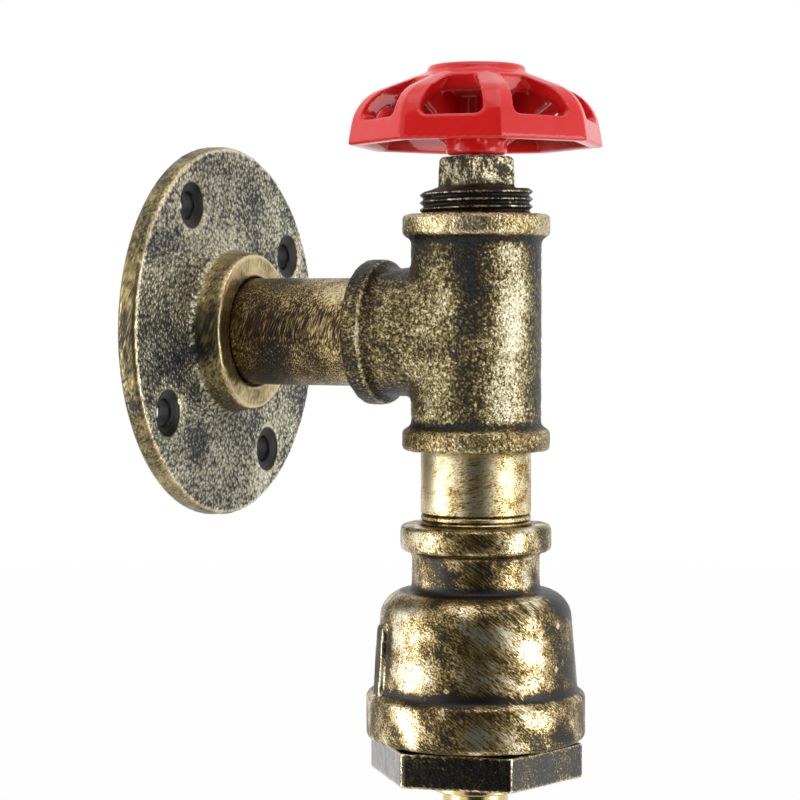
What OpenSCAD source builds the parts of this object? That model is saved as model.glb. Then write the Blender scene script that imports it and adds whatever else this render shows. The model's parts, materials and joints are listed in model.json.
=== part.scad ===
// Pipe wall light with a valve wheel for a switch.
// A floor flange carries a short pipe arm and a tee. The tee's upper port takes a square-headed
// plug with a rotary switch under a cast wheel. Its lower port carries a pipe, a bell reducer and
// a hexagon plug, from which a lampholder hangs.
// Frame: millimetres, +Z up. The origin is the centre of the flange's back face, on the wall.
// The arm leaves the wall along -Y.

/* [Pipe] */
// Outside diameter of the pipe
pipe_d = 26.9; // [26:0.1:27.2]
// Bore of the pipe
pipe_bore = 21.7; // [20:0.1:22.5]
// Diameter of a threaded port at its mouth
port_d = 27.5; // [27.4:0.1:28.4]
// Pitch of the pipe thread
thread_pitch = 1.81; // [1.2:0.01:2.4]
// Depth of the pipe thread
thread_depth = 0.9; // [0.5:0.05:1.2]
// Length of pipe thread inside a fitting
thread_grip = 14.5; // [12:0.5:16]
// Room between a thread and its port
thread_gap = 0.1; // [0.05:0.01:0.15]
// Width of the chamfer at the mouth of a port
port_chamfer = 0.6; // [0.3:0.1:1]

/* [Wall flange] */
// Diameter of the flange
flange_d = 94; // [88:0.5:110]
// Thickness of the plate
flange_t = 5.4; // [4:0.1:8]
// Rounding of the plate's front edge
flange_edge = 1.4; // [0.5:0.1:2.5]
// Diameter of the hub at its face
hub_d = 39.4; // [36:0.1:46]
// Height of the hub above the plate
hub_h = 7.3; // [5:0.1:12]
// Widening of the hub towards its foot
hub_draft = 0.7; // [0:0.1:1.5]
// Rounding at the foot of the hub
hub_fillet = 1.6; // [1:0.1:3]
// Width of the chamfer at the mouth of the hub
hub_chamfer = 1.3; // [0.5:0.1:2]
// Diameter of the circle of screw holes
hole_circle = 73.8; // [68:0.1:78]
// Number of screw holes
hole_count = 4; // [3:1:6]
// Diameter of a screw hole
hole_d = 6.6; // [4.5:0.1:8]
// Diameter of a screw hole's countersink
countersink_d = 11.8; // [9:0.1:13]
// Turn of the first screw hole from straight up
hole_turn = -32; // [-45:1:45]

/* [Arm and column] */
// Length of pipe that shows between the flange and the tee
arm_show = 31.9; // [20:0.1:80]
// Distance of the arm's end from the wall
arm_inset = 0.7; // [0.3:0.1:3]
// Length of pipe that shows between the tee and the bell
drop_show = 17.9; // [8:0.1:60]

/* [Tee] */
// Centre of the tee to the face of each port
tee_half = 28.6; // [27:0.1:32]
// Diameter of the tee's body
tee_d = 31.6; // [30.5:0.1:33]
// Diameter of the core inside the tee
tee_core = 23.6; // [22:0.1:24.5]
// Diameter of the collar round each port
collar_d = 35.9; // [34:0.1:39]
// Height of a collar
collar_h = 5.3; // [4:0.1:7]
// Rounding of a collar's edges
collar_edge = 0.9; // [0.4:0.1:1.5]

/* [Top plug] */
// Length of the plug's thread that shows above the tee
plug_show = 5.2; // [2:0.1:8]
// Length of thread inside the tee
plug_grip = 16.5; // [15:0.1:18]
// Height of the slope from the thread to the head
plug_slope = 1.4; // [0.8:0.1:3]
// Height of the square head
plug_head_h = 7.4; // [6:0.1:10]
// Width of the square head across its flats
plug_head_w = 13.3; // [13:0.1:15]
// Width of the square head across its rounded corners
plug_head_d = 18.7; // [17.5:0.1:19]
// Narrowing of the corners towards the top
plug_draft = 0.8; // [0:0.1:1.2]
// Turn of the square head's first corner
plug_turn = 15; // [0:1:90]
// Bore of the hollow under the head
plug_hollow = 19.4; // [19.2:0.1:20.4]
// Thickness of metal between the hollow and the head
plug_roof = 5; // [4:0.1:7]

/* [Valve wheel] */
// Diameter of the wheel across its corners
wheel_d = 63; // [56:0.2:72]
// Number of sides, which is the number of spokes
wheel_sides = 8; // [6:1:9]
// Turn of the first corner
wheel_turn = 33; // [0:1:60]
// Height of the hub under the boss
wheel_hub_h = 14.1; // [13:0.1:18]
// Diameter of the hub
wheel_hub_d = 14.9; // [13:0.1:17]
// Height of the round boss on top
boss_h = 7.5; // [6.5:0.1:10]
// Diameter of the boss
boss_d = 23.8; // [20:0.1:26]
// Lowest edge of the rim above the foot of the hub
rim_lift = 2.1; // [1:0.1:4]
// Height of the rim below the windows
rim_h = 5.8; // [3:0.1:7]
// Lean of the rim from upright
rim_lean = 10; // [5:1:14]
// Slope of the crown from level
crown_slope = 21; // [15:1:24]
// Drop from the top of the boss to the crown
crown_drop = 1.5; // [0.5:0.1:2]
// Diameter of the crown that stays closed round the boss
crown_d = 25; // [24.5:0.5:44]
// Radius between rim and crown
shoulder_r = 11; // [8:0.1:12]
// Thickness of the dome's wall
dome_wall = 3.2; // [2.5:0.1:4]
// Width of a spoke at the boss
spoke_w = 4.6; // [3.6:0.1:5]
// Width of a spoke at the rim
spoke_rim_w = 7.4; // [5:0.1:9]
// Room between the wheel and the plug
wheel_gap = 0.3; // [0.2:0.05:1]

/* [Wheel fastening] */
// Diameter of the recess in the boss
recess_d = 14; // [13:0.1:16]
// Depth of the recess
recess_h = 5; // [4.6:0.1:6]
// Diameter of the spindle
spindle_d = 6; // [5.6:0.1:6.4]
// Width of the square that drives the wheel
square_w = 4.2; // [3.6:0.1:4.3]
// Height of that square
square_h = 8; // [5:0.1:10]
// Diameter of the stud on top of the spindle
stud_d = 4; // [3:0.1:4.1]
// Thickness of the wheel's washer
washer_t = 1; // [0.6:0.1:1.4]
// Diameter of the wheel's washer
washer_d = 10; // [9:0.1:12]
// Width of the wheel nut across its flats
nut_af = 7; // [6.4:0.1:8]
// Height of the wheel nut
nut_h = 2.4; // [1.6:0.1:3]

/* [Switch] */
// Diameter of the switch's threaded bush
bush_d = 10; // [9:0.1:10.5]
// Width of the bush's locknut across its flats
locknut_af = 13; // [12:0.1:14]
// Height of the locknut
locknut_h = 2.5; // [1.8:0.1:3]
// Outside diameter of the switch
switch_d = 18.4; // [17.6:0.1:18.6]
// Height of the switch's base
switch_h = 11.5; // [11:0.1:13]
// Thickness of the switch's cover
cover_t = 2; // [1.2:0.1:2.5]
// Thickness of the base's floor
base_floor = 2; // [1.5:0.1:2.4]
// Wall of the base
base_wall = 1.4; // [1:0.1:1.5]
// Height of the turning drum
rotor_h = 4.6; // [3.6:0.1:5]
// Height of the space for the spring washer
washer_space = 0.9; // [0.6:0.1:1.2]
// Thickness of the contact metal
contact_t = 0.8; // [0.5:0.1:1]
// Width of the bridge between the contacts
bridge_w = 4; // [3.4:0.1:4.4]
// Distance of a fixed contact from the spindle
contact_reach = 5; // [4.8:0.1:5.2]
// Diameter of a fixed contact's pad
pad_d = 4; // [3:0.1:4.4]
// Diameter of a fixed contact's tail
tail_d = 2.4; // [2:0.1:2.6]
// Length of tail under the base
tail_h = 4.9; // [3:0.1:6]
// Diameter of the spindle's lower pivot
pivot_d = 3; // [2:0.1:3.2]
// Running room round a turning or sliding piece
run_gap = 0.05; // [0.03:0.01:0.1]

/* [Bell reducer] */
// Length of the bell reducer
bell_h = 52.1; // [49:0.1:60]
// Diameter of its upper collar
bell_collar_d = 36.8; // [35:0.1:40]
// Height of its upper collar
bell_collar_h = 6.6; // [5:0.1:7.5]
// Rounding of the collar's and the band's edges
bell_edge = 1.3; // [0.5:0.1:1.6]
// Diameter of the neck under the collar
bell_neck_d = 31.2; // [31:0.1:33]
// Height of the collar and the neck together
bell_neck_h = 16; // [16:0.1:19]
// Diameter of the bell at its shoulder
bell_shoulder_d = 46.8; // [45:0.1:48]
// Radius of the shoulder
bell_shoulder_r = 7; // [5:0.1:7]
// Diameter of the bell above the band
bell_low_d = 49.4; // [49:0.1:51]
// Diameter of the band round the wide port
band_d = 53.5; // [52:0.1:57]
// Height of the band
band_h = 11.3; // [8:0.1:13]
// Diameter of the wide port at its mouth
wide_port_d = 42.6; // [41:0.1:43.5]
// Depth of the wide port
wide_port_h = 16; // [15:0.1:18]
// Width of the two grip ribs
rib_w = 4.6; // [1.5:0.1:6]
// Height of the grip ribs above the bell's wall
rib_h = 1.2; // [0.5:0.1:1.5]
// Turn of the grip ribs
rib_turn = 134; // [0:1:180]
// Wall of the bell at its shoulder
bell_wall = 6; // [4:0.1:7]

/* [Hexagon plug] */
// Width of the hexagon across its flats
hex_af = 46; // [45:0.1:52]
// Height of the hexagon
hex_h = 8.5; // [7:0.1:11]
// Gap between the bell and the hexagon
hex_gap = 0.6; // [0.3:0.1:2]
// Length of thread inside the bell
hex_grip = 12; // [9:0.5:14]
// Bore of the hollow in the plug
hex_hollow = 31; // [30:0.1:34]
// Thickness of the plug's floor
hex_floor = 6; // [4:0.1:6.5]
// Turn of the hexagon's first corner
hex_turn = 41; // [0:1:60]

/* [Lamp tube] */
// Diameter of the threaded lamp tube
tube_d = 9.9; // [9.4:0.1:10.4]
// Bore of the lamp tube
tube_bore = 7.2; // [6.8:0.1:7.6]
// Thickness of the washer on the plug's floor
tube_washer_t = 1.2; // [0.8:0.1:2]
// Diameter of that washer
tube_washer_d = 21; // [18:0.1:24]
// Thickness of the earth tag
tag_t = 0.8; // [0.6:0.1:1.2]
// Distance of the earth tag's barrel from the tube
tag_reach = 11; // [10.8:0.1:12]
// Height of the earth tag's barrel
tag_h = 8; // [5:0.1:10]
// Width of the locknut across its flats
tube_nut_af = 14; // [13:0.1:15]
// Height of the locknut
tube_nut_h = 4; // [2.5:0.1:5]
// Length of tube that stands above the locknut
tube_stand = 2; // [1:0.1:4]
// Diameter of the check ring under the hexagon
check_d = 22; // [18:0.1:26]
// Height of the check ring
check_h = 3.8; // [2.5:0.1:6]
// Room round the tube in a hole
tube_gap = 0.1; // [0.05:0.01:0.2]

/* [Lampholder] */
// Diameter of the holder's neck
neck_d = 15.9; // [15:0.1:18]
// Height of the neck
neck_h = 9; // [8:0.1:14]
// Hollow rounding between the neck and the dome
neck_fillet = 2; // [1:0.1:3]
// Diameter of the cap's dome
dome_d = 39.8; // [39:0.1:42]
// Height of the dome
dome_h = 18; // [17:0.1:22]
// Height of the straight rim under the dome
cap_rim_h = 7; // [5:0.1:8]
// Diameter of the grub screw in the neck
grub_d = 3; // [2.4:0.1:4]
// Wall of the cap and the skirt
holder_wall = 1.4; // [1:0.05:1.5]
// Length of skirt that shows under the cap
skirt_h = 29; // [27:0.1:36]
// Width of the skirt's inner lip
lip_w = 2.6; // [2.2:0.1:3]
// Room between pieces that are only laid together
lay_gap = 0.3; // [0.2:0.05:0.35]

/* [Bulb socket] */
// Depth of the bulb's socket
socket_depth = 23; // [22:0.1:24.5]
// Inside diameter of the screw shell at its mouth
socket_d = 26.8; // [26:0.05:27]
// Length of the shell's plain mouth
socket_mouth = 6; // [4:0.1:7]
// Pitch of the bulb's thread
socket_pitch = 3.63; // [3:0.01:4]
// Height of the bulb's thread
socket_thread = 1.1; // [0.6:0.05:1.2]
// Wall of the screw shell
shell_wall = 0.5; // [0.4:0.05:0.55]
// Thickness of the insulator over the socket
insulator_roof = 12; // [11:0.1:14]
// Diameter of the centre contact
plunger_d = 5; // [4:0.1:5.4]
// Length of contact that stands into the socket
plunger_show = 4; // [3:0.1:5]
// Length of the centre contact's guide
plunger_guide = 3; // [2:0.1:4]
// Thickness of the centre contact's head
plunger_head_t = 1.5; // [1:0.1:2]
// Diameter of the spring's wire
spring_wire = 0.5; // [0.4:0.05:0.6]
// Number of turns of the spring
spring_turns = 5; // [3:1:6]
// Thickness of the terminals' feet
terminal_t = 1.2; // [0.8:0.1:1.6]
// Width of a terminal block
terminal_w = 6; // [5.4:0.1:7]
// Height of a terminal block
terminal_h = 5; // [4:0.1:6]
// Distance of a terminal from the column's axis
terminal_reach = 9; // [8.4:0.1:9.4]
// Diameter of a terminal screw
terminal_screw_d = 2.8; // [2:0.1:3]

/* [Wiring] */
// Diameter of an insulated wire
wire_d = 2.2; // [1.8:0.1:2.3]
// Room between a wire and its clamp
wire_gap = 0.15; // [0.1:0.05:0.3]
// Distance of the supply connector from the wall
connector_y = 15; // [13:0.5:20]
// Length of the supply connector
connector_h = 14; // [10:0.5:16]
// Distance of a clamp from the arm's axis
clamp_reach = 5; // [4.6:0.1:6]
// Outside diameter of a clamp
clamp_d = 4.8; // [4:0.1:5.4]
// Distance of a clamp's end from the connector's face
clamp_inset = 1; // [0.5:0.1:2]
// Length of wire held in a clamp
wire_grip = 4; // [2:0.5:6]

/* [Hidden] */
$fn = 96;
arc_steps = 6;
cut = 1;
taper = 1 / 16;
wire_sides = 8;
spring_sides = 6;
spring_steps = 12;
X = [1, 0, 0];
Z = [0, 0, 1];

// Places along the arm, from the wall
hub_face = flange_t + hub_h;
branch_face = hub_face + arm_show;
reach = branch_face + tee_half;
connector_end = connector_y + connector_h;

// Heights of the plug and the wheel, from the arm's axis
plug_bottom = tee_half - plug_grip;
plug_thread_top = tee_half + plug_show;
plug_head_low = plug_thread_top + plug_slope;
plug_top = plug_head_low + plug_head_h;
roof_low = plug_head_low - plug_roof;
wheel_low = plug_top + wheel_gap;
boss_low = wheel_low + wheel_hub_h;
wheel_top = boss_low + boss_h;
rim_low = wheel_low + rim_lift;
window_low = rim_low + rim_h;
recess_low = wheel_top - recess_h;
square_low = recess_low - square_h;
nut_low = recess_low + washer_t;

// Heights of the switch, which hangs from the plug's roof
cover_top = roof_low - locknut_h - lay_gap;
base_top = cover_top - cover_t;
base_low = base_top - switch_h;
rotor_top = base_top - washer_space;
rotor_low = rotor_top - rotor_h;
bridge_low = rotor_low - contact_t;
pad_top = bridge_low - lay_gap;
pad_low = pad_top - contact_t;
tail_low = base_low - tail_h;
switch_bore = switch_d - 2 * base_wall;

// Heights of the column under the tee
bell_top = -tee_half - drop_show;
bell_low = bell_top - bell_h;
bell_neck_low = bell_top - bell_neck_h;
band_top = bell_low + band_h;
hex_top = bell_low - hex_gap;
hex_low = hex_top - hex_h;
hex_floor_top = hex_low + hex_floor;
tag_low = hex_floor_top + tube_washer_t;
tube_nut_low = tag_low + tag_t;
tube_top = tube_nut_low + tube_nut_h + tube_stand;
tube_hole = tube_d + 2 * tube_gap;
check_low = hex_low - check_h;

// Heights and bores of the lampholder
neck_low = check_low - neck_h;
dome_low = neck_low - dome_h;
cap_low = dome_low - cap_rim_h;
skirt_low = cap_low - skirt_h;
tube_low = neck_low + 1;
cap_bore = dome_d - 2 * holder_wall;
spigot_d = cap_bore - 2 * thread_gap;
spigot_h = cap_rim_h - 1;
spigot_wall = 1.2;
skirt_d = dome_d - 0.4;
skirt_bore = skirt_d - 2 * holder_wall;
insulator_d = spigot_d - 2 * spigot_wall - 2 * lay_gap;
insulator_low = skirt_low + holder_wall + lay_gap;
socket_top = insulator_low + socket_depth;
insulator_top = socket_top + insulator_roof;
shell_low = insulator_low + 1;
shell_top = socket_top - lay_gap;
shell_d = socket_d + 2 * shell_wall;
pocket_low = socket_top + plunger_guide;
pocket_d = plunger_d + 3;
head_low = pocket_low + run_gap;
spring_low = head_low + plunger_head_t;
spring_d = plunger_d + 0.8;
terminal_top = insulator_top + terminal_t + terminal_h;
terminal_hole = wire_d + 2 * wire_gap;
strap_reach = 12;
strap_w = 4;

// Where the wires start in their clamps and gather over the lamp tube, from the column's axis
wire_start = reach - connector_end + clamp_inset + wire_grip;
pair_x = tube_bore / 4;
gather_z = (bell_neck_low + tube_top) / 2;

// Bend of a wire from the arm down into the column, as [towards the wall, down]
tee_bend = tee_half * [[0.64, 0.09], [0.46, 0.12], [0.29, 0.21], [0.15, 0.35], [0.08, 0.56]];

// Bend from the lamp tube out to a terminal, as shares of the way out and of the way down
lamp_bend = [[0, -0.03], [0.05, 0.26], [0.26, 0.48], [0.59, 0.61], [0.89, 0.74], [1, 0.93], [1, 1.2]];

// Start of a wire from one of the lower clamps, which drifts to a distance from the middle
function from_clamp(side, drift) =
    let (x = clamp_reach * cos(30))
    concat([[side * x, wire_start, -clamp_reach * sin(30)]],
           [for (i = [0 : 4]) [side * (x + (drift - x) * i / 4), tee_bend[i].x, -tee_bend[i].y]]);

// End of a wire that goes through the lamp tube to a terminal
function to_terminal(side) = concat([[side * pair_x, 0, gather_z]],
    [for (p = lamp_bend) [side * (pair_x + (terminal_reach - pair_x) * p.x), 0,
                          tube_low - (tube_low - terminal_top) * p.y]]);

// Routes of the wires, from the connector or the switch to their terminals
feed_route = [
    [0, wire_start, clamp_reach], [0, 0.67 * tee_half, clamp_reach],
    [0, 0.53 * tee_half, 0.8 * clamp_reach], [0, 0.39 * tee_half, 0.4 * clamp_reach],
    [0, 0.25 * tee_half, 0.4 * clamp_reach], [0, 1.08 * contact_reach, 0.38 * tail_low],
    [0, contact_reach, 0.67 * tail_low], [0, contact_reach, tail_low]
];
neutral_route = concat(
    from_clamp(-1, 1.7 * pair_x), [[-1.4 * pair_x, 0.6 * pair_x, bell_top]], to_terminal(-1));
switched_route = concat([
    [0, -contact_reach, tail_low], [0, -contact_reach, 0],
    [0.3 * pair_x, -0.86 * contact_reach, -0.7 * tee_half],
    [0.75 * pair_x, -0.46 * contact_reach, (bell_top + bell_neck_low) / 2]
], to_terminal(1));
earth_route = concat(from_clamp(1, 0.6 * tag_reach), [
    [0.64 * tag_reach, 0.6 * pair_x, bell_top], [0.8 * tag_reach, 0, bell_neck_low],
    [tag_reach, 0, tag_low + 1.9 * tag_h], [tag_reach, 0, tag_low + 0.55 * tag_h]
]);

brass = "#c9a14a";
bronze = "#8a7440";
bronze_dark = "#6d5c38";
red = "#c8201f";
steel = "#a9adb0";
phenolic = "#2b2523";
porcelain = "#e9e6dc";

// Points of an arc from one angle to another
function arc(centre, r, from, to, steps = arc_steps) =
    [for (i = [0 : steps]) centre + r * [cos(from + (to - from) * i / steps),
                                         sin(from + (to - from) * i / steps)]];

function reversed(list) = [for (i = [len(list) - 1 : -1 : 0]) list[i]];

// Radius of a tapered port at a depth from its mouth
function port_r(d, depth) = d / 2 - depth * taper / 2;

// Outline of a tapered pipe thread as [radius, depth], from the mouth of its port inwards
function thread_outline(d, from, grip, limit) =
    let (turns = floor((grip - from) / thread_pitch), step = (grip - from) / turns)
    [for (i = [0 : turns - 1])
        let (depth = from + i * step, r = min(limit, port_r(d, depth) - thread_gap))
        each [[r, depth], [r, depth + 0.2 * step], [r - thread_depth, depth + 0.6 * step]],
     [min(limit, port_r(d, grip) - thread_gap), grip]];

// Outline of a collar with rounded edges, from the pipe under it to its face
function collar_outline(body_r, r, h, edge, face) =
    let (fillet = max(0.1, min(1.4, r - body_r - edge)))
    concat(arc([body_r + fillet, face - h - fillet], fillet, 180, 90),
           arc([r - edge, face - h + edge], edge, -90, 0),
           arc([r - edge, face - edge], edge, 0, 90));

// Tube of round section along a path, made of flat-sided rings
function unit(v) = v / norm(v);
function heading(path, i) = unit(path[min(i + 1, len(path) - 1)] - path[max(i - 1, 0)]);
function ring(centre, along, r, sides, across) =
    let (s = unit(cross(along, across)), t = cross(s, along))
    [for (k = [0 : sides - 1]) centre + r * (cos(360 * k / sides) * s + sin(360 * k / sides) * t)];

module tube_along(path, d, sides, across) {
    last = (len(path) - 1) * sides;
    points = [for (i = [0 : len(path) - 1]) each ring(path[i], heading(path, i), d / 2, sides, across)];
    walls = [for (i = [0 : len(path) - 2], k = [0 : sides - 1])
        let (a = i * sides + k, b = i * sides + (k + 1) % sides)
        each [[a, a + sides, b], [b, a + sides, b + sides]]];
    ends = [[for (k = [0 : sides - 1]) k], [for (k = [sides - 1 : -1 : 0]) last + k]];
    polyhedron(points, concat(walls, ends), convexity = 8);
}

// Local +Z runs from the wall along the arm, local +Y is up
module along_arm() { rotate([90, 0, 0]) children(); }

// The column's axis is the upright axis of the tee, the wheel and everything that hangs
module on_column() { translate([0, -reach, 0]) children(); }

// Upright disc or ring between two heights
module disc(d, low, high) { translate([0, 0, low]) cylinder(d = d, h = high - low); }
module washer_ring(d, bore, low, high) {
    difference() {
        disc(d, low, high);
        disc(bore, low - cut, high + cut);
    }
}
module hexagon(af, low, high) {
    translate([0, 0, low]) cylinder(d = af / cos(30), h = high - low, $fn = 6);
}

// Tapered port, cut downwards from a face at height 0
module port(d, depth, chamfer) {
    mirror([0, 0, 1]) {
        cylinder(r1 = port_r(d, 0), r2 = port_r(d, depth), h = depth);
        translate([0, 0, -cut]) cylinder(d1 = d + 2 * (chamfer + cut), d2 = d, h = chamfer + cut);
    }
}

// Threaded pipe that stands on height 0, with its lower grip, its plain length and its upper grip
module nipple(low_grip, show, high_grip) {
    low_end = [for (p = reversed(thread_outline(port_d, 0, low_grip, pipe_d / 2))) [p.x, low_grip - p.y]];
    high_end = [for (p = thread_outline(port_d, 0, high_grip, pipe_d / 2)) [p.x, low_grip + show + p.y]];
    bore_r = pipe_bore / 2;
    top = low_grip + show + high_grip;
    rotate_extrude() polygon(concat([[bore_r, 0]], low_end, high_end, [[bore_r, top]]));
}

module wall_flange() {
    r = flange_d / 2;
    foot_r = hub_d / 2 + hub_draft;
    outline = concat(
        [[0, 0], [r, 0]],
        arc([r - flange_edge, flange_t - flange_edge], flange_edge, 0, 90),
        arc([foot_r + hub_fillet, flange_t + hub_fillet], hub_fillet, 270, 180),
        arc([hub_d / 2 - collar_edge, hub_face - collar_edge], collar_edge, 0, 90),
        [[0, hub_face]]);
    sink = (countersink_d - hole_d) / 2;
    color(bronze) along_arm() difference() {
        rotate_extrude() polygon(outline);
        translate([0, 0, hub_face]) port(port_d, hub_face + cut, hub_chamfer);
        for (i = [0 : hole_count - 1])
            rotate(90 - hole_turn - i * 360 / hole_count) translate([hole_circle / 2, 0, 0]) {
                translate([0, 0, -cut]) cylinder(d = hole_d, h = flange_t + 2 * cut);
                translate([0, 0, flange_t - sink])
                    cylinder(d1 = hole_d, d2 = countersink_d + 2 * cut, h = sink + cut);
            }
    }
}

module arm_nipple() {
    color(bronze) along_arm() translate([0, 0, arm_inset])
        nipple(hub_face - arm_inset, arm_show, thread_grip);
}

// Outline of a leg of the tee, from its centre to the face of its port
function leg_outline(d) = concat(
    [[d / 2, 0]],
    collar_outline(d / 2, collar_d / 2, collar_h, collar_edge, tee_half));

module tee() {
    up = leg_outline(tee_d);
    down = [for (p = reversed(up)) [p.x, -p.y]];
    port_h = plug_grip + 2 * lay_gap;
    color(bronze) on_column() difference() {
        union() {
            rotate_extrude() polygon(concat([[0, -tee_half]], down, up, [[0, tee_half]]));
            rotate([-90, 0, 0]) rotate_extrude()
                polygon(concat([[0, 0]], up, [[0, tee_half]]));
        }
        disc(tee_core, -tee_half - cut, tee_half + cut);
        rotate([-90, 0, 0]) disc(tee_core, 0, tee_half + cut);
        for (turn = [0, -90, 180]) rotate([turn, 0, 0]) translate([0, 0, tee_half])
            port(port_d, port_h, port_chamfer);
    }
}

module top_plug() {
    thread = [for (p = thread_outline(port_d, -plug_show, plug_grip, port_d)) [p.x, tee_half - p.y]];
    color(bronze_dark) on_column() difference() {
        union() {
            rotate_extrude() polygon(concat(
                [[0, plug_head_low], [plug_head_d / 2, plug_head_low]], thread, [[0, plug_bottom]]));
            translate([0, 0, plug_head_low - plug_slope]) rotate(plug_turn + 45) intersection() {
                head_h = plug_head_h + plug_slope;
                translate([-plug_head_w / 2, -plug_head_w / 2, 0]) cube([plug_head_w, plug_head_w, head_h]);
                cylinder(d1 = plug_head_d, d2 = plug_head_d - plug_draft, h = head_h);
            }
        }
        disc(plug_hollow, plug_bottom - cut, roof_low);
        disc(bush_d + 2 * thread_gap, roof_low - cut, plug_top + cut);
    }
}

// Corner where the lines of the wheel's rim and crown would meet, as [radius, height]
crown_z = wheel_top - crown_drop;
rim_tan = tan(rim_lean);
crown_tan = tan(crown_slope);
crown_rise = crown_z + boss_d / 2 * crown_tan - rim_low;
corner_r = (wheel_d / 2 - crown_rise * rim_tan) / (1 - crown_tan * rim_tan);
corner_z = crown_z - (corner_r - boss_d / 2) * crown_tan;
shoulder_run = shoulder_r * tan((90 - rim_lean - crown_slope) / 2);
shoulder_c = [corner_r + shoulder_run * sin(rim_lean) - shoulder_r * cos(rim_lean),
              corner_z - shoulder_run * cos(rim_lean) - shoulder_r * sin(rim_lean)];

// Line of the wheel's dome along a corner, a depth under its outer skin
function dome_line(depth) = concat(
    [[wheel_d / 2 - depth / cos(rim_lean), rim_low]],
    arc(shoulder_c, shoulder_r - depth, rim_lean, 90 - crown_slope),
    [[boss_d / 2 - 1, crown_z + crown_tan - depth / cos(crown_slope)]]);

// Width of a spoke at a distance from the wheel's axis
function spoke_at(r) =
    spoke_w + (spoke_rim_w - spoke_w) * (r - boss_d / 2) / (wheel_d / 2 - boss_d / 2);

// Radius at which the windows end in the crown, and where their cutters start
crown_r = min(crown_d / 2, shoulder_c.x + shoulder_r * sin(crown_slope) - 0.5);
window_in = crown_r * cos(180 / wheel_sides);

// Outline of a window as [half width, height], from the rim up to the crown
window_side = concat(
    [for (r = [wheel_d / 2 - rim_h * rim_tan]) [r * sin(180 / wheel_sides) - spoke_at(r) / 2, window_low]],
    [for (p = arc(shoulder_c, shoulder_r, rim_lean, 90 - crown_slope)) if (p.y > window_low + 0.5)
        [p.x * sin(180 / wheel_sides) - spoke_at(p.x) / 2, p.y]],
    [for (z = [crown_z - (crown_r - boss_d / 2) * crown_tan, crown_z + cut])
        [crown_r * sin(180 / wheel_sides) - spoke_at(crown_r) / 2, z]]);

module handwheel() {
    window = concat(window_side, [for (p = reversed(window_side)) [-p.x, p.y]]);
    color(red) on_column() rotate(wheel_turn) difference() {
        union() {
            difference() {
                rotate_extrude($fn = wheel_sides)
                    polygon(concat(dome_line(0), reversed(dome_line(dome_wall))));
                for (i = [0 : wheel_sides - 1])
                    rotate((i + 0.5) * 360 / wheel_sides) translate([window_in, 0, 0])
                        rotate([90, 0, 90]) linear_extrude(wheel_d) polygon(window);
            }
            disc(boss_d, boss_low, wheel_top);
            disc(wheel_hub_d, wheel_low, boss_low + cut);
        }
        disc(recess_d, recess_low, wheel_top + cut);
        disc(spindle_d + 2 * run_gap, wheel_low - cut, square_low);
        translate([0, 0, square_low - cut]) linear_extrude(square_h + 2 * cut)
            square(square_w + 2 * run_gap, center = true);
    }
}

module wheel_washer() {
    color(steel) on_column() washer_ring(washer_d, stud_d + 2 * tube_gap, recess_low, nut_low);
}

module wheel_nut() {
    color(steel) on_column() difference() {
        hexagon(nut_af, nut_low, nut_low + nut_h);
        disc(stud_d + 2 * run_gap, nut_low - cut, nut_low + nut_h + cut);
    }
}

module spindle() {
    color(steel) on_column() {
        disc(pivot_d, base_low + lay_gap, rotor_low + cut);
        disc(spindle_d, rotor_low, square_low);
        rotate(wheel_turn) translate([0, 0, square_low - cut]) linear_extrude(square_h + cut)
            square(square_w, center = true);
        disc(stud_d, recess_low - cut, nut_low + nut_h + 0.8);
    }
}

module switch_bush() {
    color(brass) on_column() washer_ring(bush_d, spindle_d + 2 * run_gap, base_top, plug_top - lay_gap);
}

module switch_locknut() {
    color(brass) on_column() difference() {
        hexagon(locknut_af, roof_low - locknut_h, roof_low);
        disc(bush_d + 2 * thread_gap, roof_low - locknut_h - cut, roof_low + cut);
    }
}

module switch_cover() {
    color(phenolic) on_column() washer_ring(switch_d, bush_d + 2 * thread_gap, base_top, cover_top);
}

// Puts a child at each of the two fixed contacts
module each_contact() {
    for (side = [-1, 1]) translate([0, side * contact_reach, 0]) children();
}

module switch_base() {
    color(phenolic) on_column() difference() {
        union() {
            difference() {
                disc(switch_d, base_low, base_top);
                disc(switch_bore, base_low + base_floor, base_top + cut);
            }
            each_contact() disc(pad_d + 0.8, base_low + base_floor - cut, pad_low);
        }
        each_contact() disc(tail_d + 2 * tube_gap, base_low - cut, pad_low + cut);
        disc(pivot_d + 2 * run_gap, base_low - cut, base_low + base_floor + cut);
    }
}

module switch_rotor() {
    color(phenolic) on_column()
        washer_ring(switch_bore - 4 * lay_gap, spindle_d + 2 * run_gap, rotor_low, rotor_top);
}

module bridge_contact() {
    length = 2 * contact_reach + bridge_w - 0.8;
    color(brass) on_column() difference() {
        translate([-length / 2, -bridge_w / 2, bridge_low]) cube([length, bridge_w, contact_t]);
        disc(pivot_d + 2 * run_gap, bridge_low - cut, rotor_low + cut);
    }
}

module fixed_contacts() {
    color(brass) on_column() each_contact() {
        disc(pad_d, pad_low, pad_top);
        disc(tail_d, tail_low, pad_top);
    }
}

module spring_washer() {
    color(steel) on_column()
        washer_ring(bush_d + 3, spindle_d + 4 * lay_gap, rotor_top + lay_gap, base_top - lay_gap / 2);
}

module drop_nipple() {
    color(bronze) on_column() translate([0, 0, bell_top - thread_grip])
        nipple(thread_grip, drop_show, thread_grip);
}

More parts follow.
